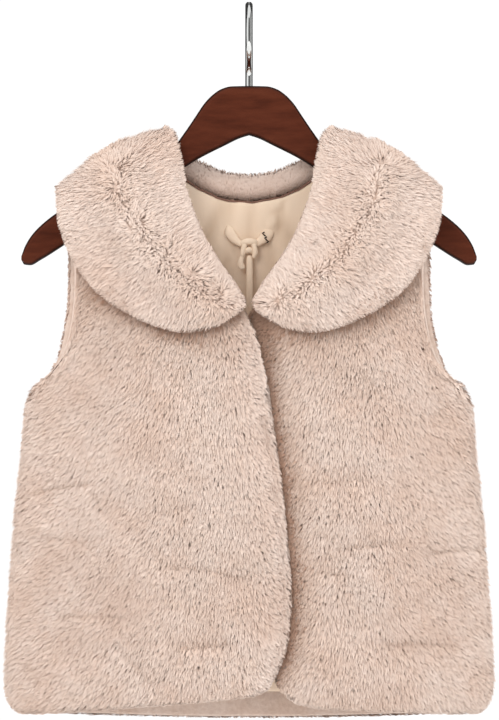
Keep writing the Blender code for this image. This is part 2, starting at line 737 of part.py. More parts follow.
def tab(name, strands, sides=8):
    """A flattened cloth tube that lies on the lining, through strands."""
    rows = np.array(strands, float)
    fine = np.linspace(0, 1, 7)
    knots = np.linspace(0, 1, len(rows))
    table = np.stack([smooth(fine, knots, rows[:, k]) for k in range(5)], axis=1)
    turn, fall = place(table[:, 0], table[:, 1], table[:, 2])
    middles = body_points(turn, fall, table[:, 2], BACK, apart=0.0)
    along = np.gradient(middles, axis=0)
    rings = []
    for point, way, (width, thick) in zip(middles, along, table[:, 3:5]):
        way = way / np.linalg.norm(way)
        flat = np.cross(way, (0, 1, 0))
        flat = flat / np.linalg.norm(flat)
        proud = np.cross(flat, way)
        reach, rise = flat * width / 2, proud * thick / 2
        turns = np.arange(sides) * 2 * math.pi / sides
        rings.append([point + reach * math.cos(a) + rise * math.sin(a) for a in turns])
    return tube(name, rings, SATIN_FINISH)


def inside_point(spot, out):
    turn, fall = place(spot.x, spot.z, out)
    return body_points(turn, fall, out, BACK, apart=0.0)


def make_knot():
    shape = bmesh.new()
    bmesh.ops.create_uvsphere(shape, u_segments=14, v_segments=9, radius=0.5)
    bmesh.ops.scale(shape, vec=KNOT_SIZE, verts=shape.verts)
    bmesh.ops.translate(shape, vec=inside_point(KNOT_MIDDLE, KNOT_OUT), verts=shape.verts)
    add_object("tie_knot", shape, SATIN_FINISH)


def make_long_end():
    """The end that hangs free: a round tube straight down from the knot."""
    spline_data = bpy.data.curves.new("tie_end_long", "CURVE")
    spline_data.dimensions = "3D"
    spline_data.bevel_depth = LONG_END_THICK / 2 * MM
    spline_data.bevel_resolution = 2
    spline_data.use_fill_caps = True
    spline = spline_data.splines.new("POLY")
    spline.points.add(len(LONG_END) - 1)
    depth = inside_point(KNOT_MIDDLE, LONG_END_OUT)[1]
    for point, spot in zip(spline.points, LONG_END):
        point.co = (spot.x * MM, depth * MM, spot.z * MM, 1)
    spline_data.materials.append(finish_material(SATIN_FINISH))
    bpy.context.scene.collection.objects.link(bpy.data.objects.new("tie_end_long", spline_data))


def make_tie():
    tab("tie_tab_right", TAB_RIGHT)
    tab("tie_tab_left", TAB_LEFT)
    tab("tie_end_short", SHORT_END, sides=6)
    make_knot()
    make_long_end()


def wood_section(x):
    """The rounded section of the hanger at x: its ring of points, level with the faces of the arms."""
    top = smooth(abs(x), *zip(*WOOD_TOP))
    under = smooth(abs(x), *zip(*WOOD_UNDER))
    middle, half_height = (top + under) / 2, (top - under) / 2
    rounded = min(WOOD_ROUND, 0.9 * half_height)
    ring = []
    for side_y, side_z in ((1, 1), (1, -1), (-1, -1), (-1, 1)):
        corner_y = side_y * (WOOD_THICK / 2 - rounded)
        corner_z = middle + side_z * (half_height - rounded)
        turns = (0, 30, 60, 90) if side_y == side_z else (90, 60, 30, 0)
        for degrees in turns:
            reach_y = side_y * rounded * math.sin(math.radians(degrees))
            reach_z = side_z * rounded * math.cos(math.radians(degrees))
            ring.append((x, corner_y + reach_y, corner_z + reach_z))
    return ring


def make_wood():
    """The hanger as sections from tip to tip, and the hole for the hook."""
    stations = np.array(WOOD_STATIONS)
    stations = np.concatenate([-stations[:0:-1], stations])
    wood = tube("hanger_wood", [wood_section(x) for x in stations], WOOD_FINISH)

    cutter = bmesh.new()
    depth = STEM_DEPTH + 10
    bmesh.ops.create_cone(
        cutter,
        cap_ends=True,
        segments=16,
        radius1=(WIRE + HOLE_SLACK) / 2,
        radius2=(WIRE + HOLE_SLACK) / 2,
        depth=depth,
    )
    bmesh.ops.translate(cutter, vec=(0, 0, CROWN[0].z - STEM_DEPTH - 0.5 + depth / 2), verts=cutter.verts)
    hole = add_object("hook_hole_cutter", cutter, WOOD_FINISH)
    hole.hide_render = True
    hole.display_type = "WIRE"
    cut = wood.modifiers.new("hook hole", "BOOLEAN")
    cut.operation = "DIFFERENCE"
    cut.object = hole


def hook_route():
    """The middle of the wire, in the plane across the hanger: up the stem, out and round the rail."""
    radius = HOOK_INSIDE + WIRE / 2
    centre_z = -HOOK_INSIDE
    stem_low = CROWN[0].z - STEM_DEPTH
    leave = math.radians(238)
    start = np.array([radius * math.cos(leave), centre_z + radius * math.sin(leave)])
    route = [(0.0, stem_low), (0.0, CROWN[0].z - 2), (0.0, CROWN[0].z + 3.5)]
    bend_low = np.array([0.0, CROWN[0].z + 3.5])
    heading = np.array([math.sin(leave), -math.cos(leave)])
    for t in (0.25, 0.5, 0.75):
        first = bend_low + np.array([0, 7.0])
        second = start - heading * 7.0
        curve = (1 - t) ** 3 * bend_low + 3 * (1 - t) ** 2 * t * first
        curve = curve + 3 * (1 - t) * t * t * second + t**3 * start
        route.append(tuple(curve))
    for degrees in np.linspace(238, -38, 25):
        angle = math.radians(degrees)
        route.append((radius * math.cos(angle), centre_z + radius * math.sin(angle)))
    return route


def make_hook():
    route = np.array(hook_route())
    along = np.gradient(route, axis=0)
    sides = 10
    rings = []
    for (y, z), (dy, dz) in zip(route, along):
        length = math.hypot(dy, dz)
        across = np.array([0, -dz / length, dy / length])
        sideways = np.array([1, 0, 0])
        turns = np.arange(sides) * 2 * math.pi / sides
        middle = np.array([0, y, z])
        rings.append([middle + WIRE / 2 * (sideways * math.cos(a) + across * math.sin(a)) for a in turns])
    tip = rings[-1]
    end = np.mean(tip, axis=0)
    way = np.array([0, *(along[-1] / np.linalg.norm(along[-1]))])
    rings.append([end + (p - end) * 0.62 + way * WIRE * 0.36 for p in tip])
    tube("hanger_hook", rings, CHROME_FINISH)


def main():
    for old in list(bpy.data.objects):
        bpy.data.objects.remove(old, do_unlink=True)
    make_wood()
    make_hook()
    make_back()
    make_lining()
    make_fronts()
    make_collar()
    make_tie()


main()
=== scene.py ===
"""The looks of a child's plush vest on a wooden hanger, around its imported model."""

import math
from collections import namedtuple

import bmesh
import bpy
import numpy as np
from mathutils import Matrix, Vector
from mathutils.bvhtree import BVHTree
from mathutils.kdtree import KDTree


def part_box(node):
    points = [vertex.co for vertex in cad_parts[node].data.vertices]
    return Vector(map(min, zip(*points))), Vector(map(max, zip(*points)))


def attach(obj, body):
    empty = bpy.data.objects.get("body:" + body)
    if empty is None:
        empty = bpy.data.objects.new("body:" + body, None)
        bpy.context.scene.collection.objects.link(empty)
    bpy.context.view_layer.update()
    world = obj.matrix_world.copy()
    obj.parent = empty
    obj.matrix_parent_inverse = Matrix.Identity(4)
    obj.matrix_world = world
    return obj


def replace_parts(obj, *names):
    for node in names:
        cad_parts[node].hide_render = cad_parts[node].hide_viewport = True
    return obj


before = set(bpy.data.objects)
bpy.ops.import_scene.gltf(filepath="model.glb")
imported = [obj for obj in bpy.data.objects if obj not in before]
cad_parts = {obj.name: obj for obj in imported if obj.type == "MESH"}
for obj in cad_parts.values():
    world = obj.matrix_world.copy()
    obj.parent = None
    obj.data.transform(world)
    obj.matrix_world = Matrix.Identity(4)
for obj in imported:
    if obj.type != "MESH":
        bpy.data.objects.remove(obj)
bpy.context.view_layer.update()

MM = 0.001
FRONT, BACK = -1, 1
Point = namedtuple("Point", "x z")

# The photograph's frame: millimetres to a pixel, and the pixel where X and Z are 0
FRAME_SIZE = (499, 720)
MM_TO_PIXEL = 0.67
ORIGIN_PIXEL = (249.0, 9.2)

# The studio, in metres
CAMERA_AWAY = 2.4
FLAGS_AWAY = 1.8
FLAGS_HIGH = 5.0
FLOOR_RADIUS = 1.2
FLOOR_LEVEL = -0.66
LIGHTS_AIM = (0, 0, -0.24)

# From here on in millimetres: how far the ground of the plush lies below its tips, and the most
# that this takes of the cloth's thickness
BACKING_SINK = 5.2
SINK_SHARE = 0.64
COLLAR_SINK = 7.0
COLLAR_SHARE = 0.42

# The collar carries no pile where it faces a panel this close by
TOWARDS_PANEL = 6.0

# The thickness of cloth that carries pile of full length, the least share of that length, and
# how far the tips may stand out of the solid
PILE_FULL = 10.0
SHORTEST = 0.45
PROUD = (0.2, 2.2)
COLLAR_PROUD = (0.4, 3.2)

# A lock of the pile: wide ones cover the ground and fine ones lie over them
ROOT_IN = 0.6
FINE_SHARE = 0.5
COVER_WIDTH = 1.65
FINE_WIDTH = 0.5
COVER_LENGTH = 0.9
FINE_LENGTH = 1.06
WIDEST_AT = 0.55

# How far locks stray from their way, and how many gather to one middle, how strongly
COVER_ASTRAY = 0.16
FINE_ASTRAY = 0.24
UPRIGHT_ASTRAY = 2.6
CLUMP = 6
GATHER = 0.3

# The share of its length that the pile has at an armhole or in the neck and on the collar's roll,
# and what it loses in a crease
SHORN = 0.3
ROLL_LENGTH = 0.55
CREASE_LOSS = 0.3

# How much of a lock's own normal is mixed with the cloth's, and how much more at a rim
OWN_NORMAL = 0.2
RIM_NORMAL = 3.0
TILT = 0.12

PINK = (1.0, 0.84, 0.76, 1)
WHITE = (1.0, 1.0, 1.0)
THREADS_PER_METRE = 9000.0


def table(kind, *rows):
    """Rows of values as named tuples."""
    return tuple(kind(*row) for row in rows)


def deselect():
    """Leaves nothing selected, so that the next operator acts only on what it makes."""
    if bpy.context.mode != "OBJECT":
        bpy.ops.object.mode_set(mode="OBJECT")
    bpy.ops.object.select_all(action="DESELECT")


def fixed(piece):
    """A piece on the one body."""
    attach(piece, "root")
    return piece


def make_camera():
    """A camera square to the front of the vest, framed as the photograph is."""
    data = bpy.data.cameras.new("camera")
    camera = bpy.data.objects.new("camera", data)
    bpy.context.scene.collection.objects.link(camera)
    across = (FRAME_SIZE[0] / 2 - ORIGIN_PIXEL[0]) * MM_TO_PIXEL * MM
    level = (ORIGIN_PIXEL[1] - FRAME_SIZE[1] / 2) * MM_TO_PIXEL * MM
    camera.location = (across, -CAMERA_AWAY, level)
    camera.rotation_euler = (math.radians(90), 0, 0)
    data.lens = data.sensor_width * CAMERA_AWAY / (FRAME_SIZE[1] * MM_TO_PIXEL * MM)
    data.clip_start, data.clip_end = 0.05, 60
    bpy.context.scene.camera = camera


def make_light(name, place, size, power, colour=(1, 1, 1)):
    """A square soft light, which shows in nothing glossy."""
    data = bpy.data.lights.new(name, "AREA")
    data.shape = "RECTANGLE"
    data.size = data.size_y = size
    data.energy = power
    data.color = colour
    light = bpy.data.objects.new(name, data)
    light.location = place
    light.rotation_euler = (Vector(LIGHTS_AIM) - Vector(place)).to_track_quat("-Z", "Y").to_euler()
    light.visible_glossy = False
    bpy.context.scene.collection.objects.link(light)


def make_flag(name, start, stop, grey):
    """A tall flag round the vest between two angles, which shows only as a line in the hook's wire."""
    middle, half = math.radians((start + stop) / 2), math.radians((stop - start) / 2)
    away = FLAGS_AWAY * math.cos(half)
    place = (away * math.sin(middle), -away * math.cos(middle), 0)
    size = (2 * FLAGS_AWAY * math.sin(half), FLAGS_HIGH, 1)
    deselect()
    bpy.ops.mesh.primitive_plane_add(size=1, location=place, rotation=(math.radians(90), 0, middle))
    flag = bpy.context.object
    flag.name = name
    flag.scale = size
    sheet = Sheet(name)
    sheet.surface(Base_Color=(grey, grey, grey, 1), Roughness=1.0, Specular_IOR_Level=0.0)
    flag.data.materials.append(sheet.material)
    flag.visible_camera = False
    flag.visible_diffuse = False
    flag.visible_shadow = False


def make_studio():
    """A pale floor disc well below the vest, a white room and soft lights."""
    deselect()
    place = (0, 0, FLOOR_LEVEL)
    bpy.ops.mesh.primitive_circle_add(vertices=96, radius=FLOOR_RADIUS, fill_type="NGON", location=place)
    floor = bpy.context.object
    floor.name = "studio_floor"
    sheet = Sheet("pale_floor")
    sheet.surface(Base_Color=(0.86, 0.86, 0.86, 1), Roughness=0.9)
    floor.data.materials.append(sheet.material)

    make_flag("flag_left", -178, -78, 0.04)
    make_flag("flag_middle", -18, 25, 0.01)
    make_flag("flag_right", 30, 108, 0.3)
    make_flag("flag_far_right", 112, 178, 0.05)

    world = bpy.data.worlds.new("white_room")
    bpy.context.scene.world = world
    world.use_nodes = True
    sky = world.node_tree.nodes["Background"]
    sky.inputs["Color"].default_value = (1, 1, 1, 1)
    sky.inputs["Strength"].default_value = 1.05
    make_light("key_light", (-0.8, -1.6, 0.7), 0.9, 15.5, (1, 0.98, 0.96))
    make_light("fill_light", (1.3, -1.3, 0.1), 1.0, 7)
    make_light("back_light", (0.4, 1.6, 0.9), 1.2, 16)
    bpy.context.scene.view_settings.view_transform = "Standard"


class Wire:
    """A socket's value, so that shader maths reads as sums."""

    def __init__(self, sheet, socket):
        self.sheet, self.socket = sheet, socket

    def maths(self, operation, first, second=None):
        values = [first] if second is None else [first, second]
        return self.sheet.node("ShaderNodeMath", {"operation": operation}, dict(enumerate(values)))

    def __add__(self, other):
        return self.maths("ADD", self, other)

    def __sub__(self, other):
        return self.maths("SUBTRACT", self, other)

    def __rsub__(self, other):
        return self.maths("SUBTRACT", other, self)

    def __mul__(self, other):
        return self.maths("MULTIPLY", self, other)

    __radd__, __rmul__ = __add__, __mul__

    def sine(self):
        return self.maths("SINE", self)

    def size(self):
        return self.maths("ABSOLUTE", self)

    def clamped(self):
        return self.maths("MAXIMUM", self.maths("MINIMUM", self, 1.0), 0.0)


class Sheet:
    """A material and its nodes."""

    def __init__(self, name):
        self.material = bpy.data.materials.new(name)
        self.material.use_nodes = True
        self.tree = self.material.node_tree
        self.shader = self.tree.nodes["Principled BSDF"]

    def feed(self, socket, value):
        if isinstance(value, Wire):
            self.tree.links.new(value.socket, socket)
        else:
            socket.default_value = value

    def node(self, kind, settings, inputs, output=0):
        made = self.tree.nodes.new(kind)
        for key, value in settings.items():
            setattr(made, key, value)
        for key, value in inputs.items():
            self.feed(made.inputs[key], value)
        return Wire(self, made.outputs[output])

    def surface(self, **inputs):
        for key, value in inputs.items():
            self.feed(self.shader.inputs[key.replace("_", " ")], value)

    def place(self, scale=(1, 1, 1), turn=(0, 0, 0)):
        where = self.node("ShaderNodeTexCoord", {}, {}, "Object")
        return self.node("ShaderNodeMapping", {}, {"Vector": where, "Scale": scale, "Rotation": turn})

    def part(self, vector, axis):
        return self.node("ShaderNodeSeparateXYZ", {}, {"Vector": vector}, axis)

    def facing(self, axis):
        """How far the surface faces along one of the model's axes."""
        return self.part(self.node("ShaderNodeNewGeometry", {}, {}, "Normal"), axis)

    def threads(self, vector, axis):
        """Waves as fine as the threads of a cloth, along one axis."""
        return (self.part(vector, axis) * THREADS_PER_METRE).sine()

    def attribute(self, name, output="Fac"):
        return self.node("ShaderNodeAttribute", {"attribute_name": name}, {}, output)

    def noise(self, vector, scale, detail=2.0, roughness=0.5):
        inputs = {"Vector": vector, "Scale": scale, "Detail": detail, "Roughness": roughness}
        return self.node("ShaderNodeTexNoise", {}, inputs, "Fac")

    def ramp(self, value, stops):
        made = self.tree.nodes.new("ShaderNodeValToRGB")
        points = made.color_ramp.elements
        while len(points) < len(stops):
            points.new(0.5)
        for point, (at, colour) in zip(points, stops):
            point.position = at
            point.color = (*colour, 1)
        self.feed(made.inputs["Fac"], value)
        return Wire(self, made.outputs["Color"])

    def mix(self, share, first, second, blend="MIX"):
        made = self.tree.nodes.new("ShaderNodeMix")
        made.data_type = "RGBA"
        made.blend_type = blend
        self.feed(made.inputs[0], share)
        for socket, value in ((made.inputs[6], first), (made.inputs[7], second)):
            self.feed(socket, value if isinstance(value, Wire) else (*value, 1))
        return Wire(self, made.outputs[2])

    def toned(self, colour, value, stops):
        return self.mix(1.0, colour, self.ramp(value, stops), "MULTIPLY")

    def bump(self, height, distance, strength=1.0):
        inputs = {"Height": height, "Distance": distance, "Strength": strength}
        return self.node("ShaderNodeBump", {}, inputs, "Normal")


def plush_finish():
    """Pile: rose-brown at its roots and pale at its tips, uneven from lock to lock, with the painted shade
    and painted light that each lock's shade value carries.
    """
    sheet = Sheet("plush_pile")
    along = sheet.attribute("along")
    lock = sheet.attribute("lock")
    hair = sheet.attribute("hair", "Vector")
    patches = sheet.noise(sheet.place(), 24.0, 3.0, 0.55)
    strands = sheet.noise(hair, 1.3, 2.0, 0.6)
    root_to_tip = (
        (0.0, (0.70, 0.55, 0.475)),
        (0.3, (0.745, 0.60, 0.52)),
        (0.7, (0.765, 0.635, 0.56)),
        (1.0, (0.79, 0.675, 0.605)),
    )
    dark_to_light = ((0.0, (0.56, 0.43, 0.355)), (0.4, (0.91, 0.87, 0.835)), (0.8, WHITE))
    # Each lock's value: random tone with painted shade and painted light, from dark to light
    colour = sheet.toned(sheet.ramp(along, root_to_tip), lock, dark_to_light)
    colour = sheet.toned(colour, patches, ((0.34, (0.95, 0.905, 0.875)), (0.6, WHITE)))
    colour = sheet.toned(colour, strands, ((0.35, (0.95, 0.925, 0.905)), (0.62, WHITE)))
    sheet.surface(Base_Color=colour, Roughness=0.7, Normal=sheet.bump(strands, 0.0003, 0.3))
    sheet.surface(Sheen_Weight=0.3, Sheen_Roughness=0.5, Sheen_Tint=PINK, Specular_IOR_Level=0.15)
    return sheet.material


def backing_finish():
    """The knitted ground of the plush, with its shorn pile where it is turned in."""
    sheet = Sheet("plush_ground")
    mottle = sheet.noise(sheet.place(), 420.0, 3.0, 0.6)
    cloud = sheet.noise(sheet.place(), 60.0, 2.0, 0.5)
    colour = sheet.ramp(mottle, ((0.3, (0.61, 0.465, 0.385)), (0.7, (0.71, 0.575, 0.495))))
    colour = sheet.toned(colour, cloud, ((0.35, (0.93, 0.89, 0.86)), (0.6, WHITE)))
    sheet.surface(Base_Color=colour, Roughness=0.9, Normal=sheet.bump(mottle, 0.0007, 0.6))
    sheet.surface(Sheen_Weight=0.4, Sheen_Roughness=0.5, Sheen_Tint=PINK, Specular_IOR_Level=0.15)
    return sheet.material


def satin_finish():
    """Lining: smooth beige satin with its fine crosswise weave and a soft shine, and painted shade darkening
    its creases.
    """
    sheet = Sheet("satin")
    threads = sheet.threads(sheet.place(), "Z")
    slubs = sheet.noise(sheet.place((14, 14, 900)), 9.0, 2.0)
    cloud = sheet.noise(sheet.place(), 18.0, 2.0)
    colour = sheet.ramp(cloud, ((0.3, (0.82, 0.645, 0.485)), (0.7, (0.88, 0.715, 0.56))))
    colour = sheet.mix(slubs * 0.2, colour, (0.74, 0.56, 0.40))
    # Painted shade in the creases
    colour = sheet.mix(sheet.attribute("painted_crease_shade"), colour, (0.50, 0.34, 0.215))
    sheet.surface(Base_Color=colour, Roughness=0.36 + slubs * 0.1, Normal=sheet.bump(threads, 0.00004, 0.3))
    sheet.surface(Sheen_Weight=0.15, Specular_IOR_Level=0.45)
    return sheet.material


def wood_finish():
    """Hanger: red-brown walnut stain, with painted shade darkening the rounded edges that turn away from the
    front, under satin varnish.
    """
    sheet = Sheet("walnut")
    grain = sheet.noise(sheet.place((7, 60, 34)), 6.0, 5.0, 0.6)
    pores = sheet.noise(sheet.place((24, 420, 300)), 4.0, 3.0, 0.6)
    stains = (
        (0.3, (0.056, 0.0125, 0.0055)),
        (0.52, (0.082, 0.019, 0.0082)),
        (0.75, (0.104, 0.026, 0.0115)),
    )
    colour = sheet.mix(pores * 0.22, sheet.ramp(grain, stains), (0.048, 0.012, 0.006))
    # Painted shade: near black where the surface turns away from the front, over the rounded edges
    edge = (1.0 - sheet.facing("Y").size()) * 2.6 - 0.35
    colour = sheet.mix(edge.clamped(), colour, (0.012, 0.0042, 0.003))
    sheet.surface(Base_Color=colour, Roughness=0.36 + pores * 0.12, Normal=sheet.bump(pores, 0.00008, 0.2))
    sheet.surface(Specular_IOR_Level=0.09)
    return sheet.material


def chrome_finish():
    """Hook: bright plated wire, faintly drawn along its length."""
    sheet = Sheet("chrome")
    drawn = sheet.noise(sheet.place((900, 900, 40)), 3.0, 2.0)
    sheet.surface(Base_Color=(0.72, 0.73, 0.72, 1), Metallic=1.0, Roughness=0.03 + drawn * 0.05)
    return sheet.material


def thread_finish(name, colour):
    """Sewing thread or piping: a plain colour with the twist of its yarn, and painted shade in the grooves of
    the twist.
    """
    sheet = Sheet(name)
    twist = sheet.threads(sheet.place(turn=(0, 0.8, 0)), "X")
    # Painted shade: a darker copy of the colour in the grooves of the twist
    shaded = sheet.mix(twist * 0.25 + 0.25, colour, tuple(0.55 * c for c in colour))
    sheet.surface(Base_Color=shaded, Roughness=0.75, Normal=sheet.bump(twist, 0.00005, 0.5))
    return sheet.material


SAME_POINT = 0.02
QUAD_ANGLE = math.radians(70)


def cloth_copy(node, name, levels):
    """A merged copy of a CAD solid with its triangles joined to quads and smoothed."""
    shape = bmesh.new()
    shape.from_mesh(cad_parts[node].data)
    bmesh.ops.remove_doubles(shape, verts=shape.verts, dist=SAME_POINT * MM)
    limits = {"angle_face_threshold": QUAD_ANGLE, "angle_shape_threshold": QUAD_ANGLE}
    bmesh.ops.join_triangles(shape, faces=shape.faces, **limits)
    mesh = bpy.data.meshes.new(name)
    shape.to_mesh(mesh)
    shape.free()
    made = bpy.data.objects.new(name, mesh)
    bpy.context.scene.collection.objects.link(made)
    deselect()
    made.select_set(True)
    bpy.context.view_layer.objects.active = made
    smooth_mesh = made.modifiers.new("smooth", "SUBSURF")
    smooth_mesh.levels = smooth_mesh.render_levels = levels
    bpy.ops.object.modifier_apply(modifier="smooth")
    mesh.shade_smooth()
    return made


def vectors_of(items, field):
    """A vector field of a mesh's points or faces, with one row for each."""
    flat = np.empty(len(items) * 3, np.float32)
    items.foreach_get(field, flat)
    return flat.reshape(-1, 3).astype(float)


def points_of(mesh):
    return vectors_of(mesh.vertices, "co")


def normals_of(mesh):
    return vectors_of(mesh.vertices, "normal")


def face_middles(mesh):
    """The middle and the normal of each face."""
    return vectors_of(mesh.polygons, "center"), vectors_of(mesh.polygons, "normal")


def set_points(mesh, points):
    mesh.vertices.foreach_set("co", points.astype(np.float32).ravel())
    mesh.update()


def store(mesh, label, values, kind="FLOAT", field="value"):
    """Keeps a value of each point in the mesh."""
    mesh.attributes.new(label, kind, "POINT").data.foreach_set(field, values.astype(np.float32).ravel())


def norms(vectors):
    return np.linalg.norm(vectors, axis=1)


def unit(vectors):
    """Each vector with its length made 1."""
    return vectors / np.maximum(norms(vectors), 1e-9)[:, None]


def tree_of(*meshes):
    """One tree of faces for several meshes."""
    points, faces = [], []
    for mesh in meshes:
        begin = len(points)
        points += [tuple(v.co) for v in mesh.vertices]
        faces += [[begin + i for i in f.vertices] for f in mesh.polygons]
    return BVHTree.FromPolygons(points, faces)


# Where a look through the cloth starts below its surface, and the most it may find, in metres
START_UNDER = 0.05
DEEPEST = 0.05


def depth_below(tree, points, normals):
    """How thick the cloth is behind each point."""
    deep = np.full(len(points), DEEPEST)
    for i, (point, normal) in enumerate(zip(points, normals)):
        hit = tree.ray_cast(Vector(point - normal * START_UNDER * MM), Vector(-normal), DEEPEST)
        if hit[3] is not None:
            deep[i] = hit[3] + START_UNDER * MM
    return deep


# Half the width and half the depth of the body that the panels go round, in metres
BODY_HALF = (0.16, 0.034)


def outward(points, normals):
    """1 where a normal looks away from the middle of the body and -1 where it looks in."""
    away = points * (1 / BODY_HALF[0] ** 2, 1 / BODY_HALF[1] ** 2, 0)
    return (unit(away) * normals).sum(axis=1)


# Where the hanging cloth creases: the middle of each trough (-) or ridge (+), half its length and
# width, how far its length leans from level and how deep it is, in millimetres and degrees
Crease = namedtuple("Crease", "x z length width lean depth")
FRONT_CREASES = table(
    Crease,
    (-121, -317, 22, 3.2, 11, -2.6), (-97, -326, 8, 2.8, -72, -2.6),
    (-104, -402, 22, 3.4, 3, -2.2), (-30, -370, 25, 3.2, -7, -2.4), (-5, -377, 8, 3, -20, -1.8),
    (-29, -420, 20, 3.4, 6, -2.6), (-118, -352, 18, 3.4, -8, -1.6), (-52, -331, 14, 3, 12, -1.2),
    (-70, -437, 18, 3.4, -50, -1.8), (62, -311, 15, 3.2, 8, -1.6), (80, -354, 20, 3.4, 4, -2.2),
    (137, -359, 24, 3.4, 3, -2.6), (54, -372, 11, 3.2, -5, -2), (112, -420, 26, 3.4, -4, -1.8),
)
BACK_CREASES = table(
    Crease,
    (-94, -306, 30, 3.6, -12, -2.4), (76, -338, 26, 3.4, 9, -2.2), (-38, -372, 28, 3.4, 5, -2.4),
    (58, -402, 24, 3.4, -7, -2.6), (118, -286, 18, 3.6, 16, -1.8), (-112, -416, 22, 3.4, -4, -2),
    (12, -300, 14, 3.2, 20, -1.6),
)
CREASES = {FRONT: FRONT_CREASES, BACK: BACK_CREASES}

# The ground's creases are wider than the pile's and take this share of their depth
CREASE_WIDER = 1.7
CREASE_SHARE = 0.7

# The lining's creases, seen from the front: upright hollows, puckers round the tabs of the tie and
# the sharp fold above the left one
LINING_CREASES = table(
    Crease,
    (0.5, -152, 26, 3.4, 88, -1.1), (-13, -134, 14, 3, 76, -0.8), (-27, -148, 26, 5, 66, -1.6),
    (17.2, -138.5, 9, 0.9, 78, 1.6), (20.5, -140, 12, 2.2, 78, -1.2),
    (30, -156, 24, 5, -62, -1.5), (17, -176, 22, 3.4, -80, -1.3), (-16, -172, 20, 3.2, 70, -1.2),
    (-19, -158, 9, 2.2, -40, 1), (9, -196, 20, 3, 84, -1), (-9, -186, 12, 2.6, 80, 0.9),
    (-60, -250, 70, 7, 80, -1.6), (66, -262, 76, 7, -83, -1.7), (8, -300, 80, 8, 87, -1.6),
    (-30, -380, 60, 7, 84, -1.5), (104, -330, 70, 7, 82, -1.4), (-106, -340, 70, 7, -85, -1.5),
)

# How much a crease bows over its length
CREASE_BOW = 0.0022


def crease_shape(points, crease, wider=1.0):
    """1 in the middle of a crease down to 0 away from it."""
    x, z = points[:, 0] / MM, points[:, 2] / MM
    lean = math.radians(crease.lean)
    along = (x - crease.x) * math.cos(lean) + (z - crease.z) * math.sin(lean)
    across = (z - crease.z) * math.cos(lean) - (x - crease.x) * math.sin(lean)
    bow = CREASE_BOW * along**2
    return np.exp(-((along / crease.length) ** 4) - ((across + bow) / (crease.width * wider)) ** 2)


def crease_height(points, creases, wider=1.0):
    """How far the creases move the cloth out at each point, in metres."""
    height = np.zeros(len(points))
    for crease in creases:
        height += crease.depth * crease_shape(points, crease, wider)
    return height * MM


def make_backing(node, face, bodies):
    """The thin ground under the pile, which is the solid with its furred side sunk, and its full form.

    A panel has a face, and the collar lies on the bodies of the panels.
    """
    ground = cloth_copy(node, node + "_ground", 1)
    mesh = ground.data
    points, normals = points_of(mesh), normals_of(mesh)
    full_form = tree_of(mesh)
    deep = depth_below(full_form, points, normals)
    if face:
        furred = outward(points, normals) > -0.25
        sunk = np.minimum(BACKING_SINK * MM, SINK_SHARE * deep)
        sunk *= np.where(on_armhole(points, normals), 0.12, 1)
    else:
        furred = ~near_panel(bodies, points, normals)
        sunk = np.minimum(COLLAR_SINK * MM, COLLAR_SHARE * deep)
        sunk *= np.clip(1.6 * collar_flow(points, normals)[1] - 0.35, 0.2, 1)
        sunk *= np.where(in_neck(points, normals), 0.25, np.where(on_roll(points, normals), 0.4, 1))
    moved = points - normals * np.where(furred, sunk, 0)[:, None]
    if face:
        creased = crease_height(points, CREASES[face], CREASE_WIDER)
        moved += normals * np.where(furred, CREASE_SHARE * creased, 0)[:, None]
    set_points(mesh, moved)
    store(mesh, "deep", deep)
    mesh.materials.append(GROUND)
    return ground, full_form


# What counts as behind the neck, and half the widths of the plush and of the roll there
BEHIND = 4
NECK_HALF = 70
ROLL_HALF = 62

# The lowest and the widest that the turned edge of an armhole reaches
ARMHOLE_LOW = -249
ARMHOLE_HALF = 142


def behind(points, half):
    return (points[:, 1] > BEHIND * MM) & (np.abs(points[:, 0]) < half * MM)


def in_neck(points, normals):
    """Whether each point is on the short strip of plush inside the back of the neck."""
    return (normals[:, 1] < -0.35) & behind(points, NECK_HALF)


def on_roll(points, normals):
    """Whether each point is on the top of the collar's roll behind the neck."""
    return (normals[:, 2] > 0.3) & behind(points, ROLL_HALF)


def on_armhole(points, normals):
    """Whether each point is on the turned edge of an armhole."""
    near = (points[:, 2] > ARMHOLE_LOW * MM) & (np.abs(points[:, 0]) < ARMHOLE_HALF * MM)
    return near & (np.abs(normals[:, 0]) > 0.4) & (np.abs(normals[:, 1]) < 0.8)


def near_panel(bodies, points, normals):
    """Whether each point faces the front or back panels close by."""
    tree = tree_of(*bodies)
    found = np.zeros(len(points), bool)
    for i, (point, normal) in enumerate(zip(points, normals)):
        hit = tree.ray_cast(Vector(point), Vector(normal), TOWARDS_PANEL * MM)
        found[i] = hit[3] is not None
    return found


WAVES_EACH = 5


def waves(points, lengths, seed):
    """A soft uneven value from -1 to 1 over space, from waves of these lengths in millimetres."""
    rng = np.random.default_rng(seed)
    total = np.zeros(len(points))
    for length in lengths:
        for _ in range(WAVES_EACH):
            way = rng.normal(size=3)
            way /= np.linalg.norm(way)
            total += np.sin(points @ way / MM * 2 * math.pi / length + rng.uniform(0, 2 * math.pi))
    return total / (1.7 * len(lengths) ** 0.5 * WAVES_EACH**0.5)


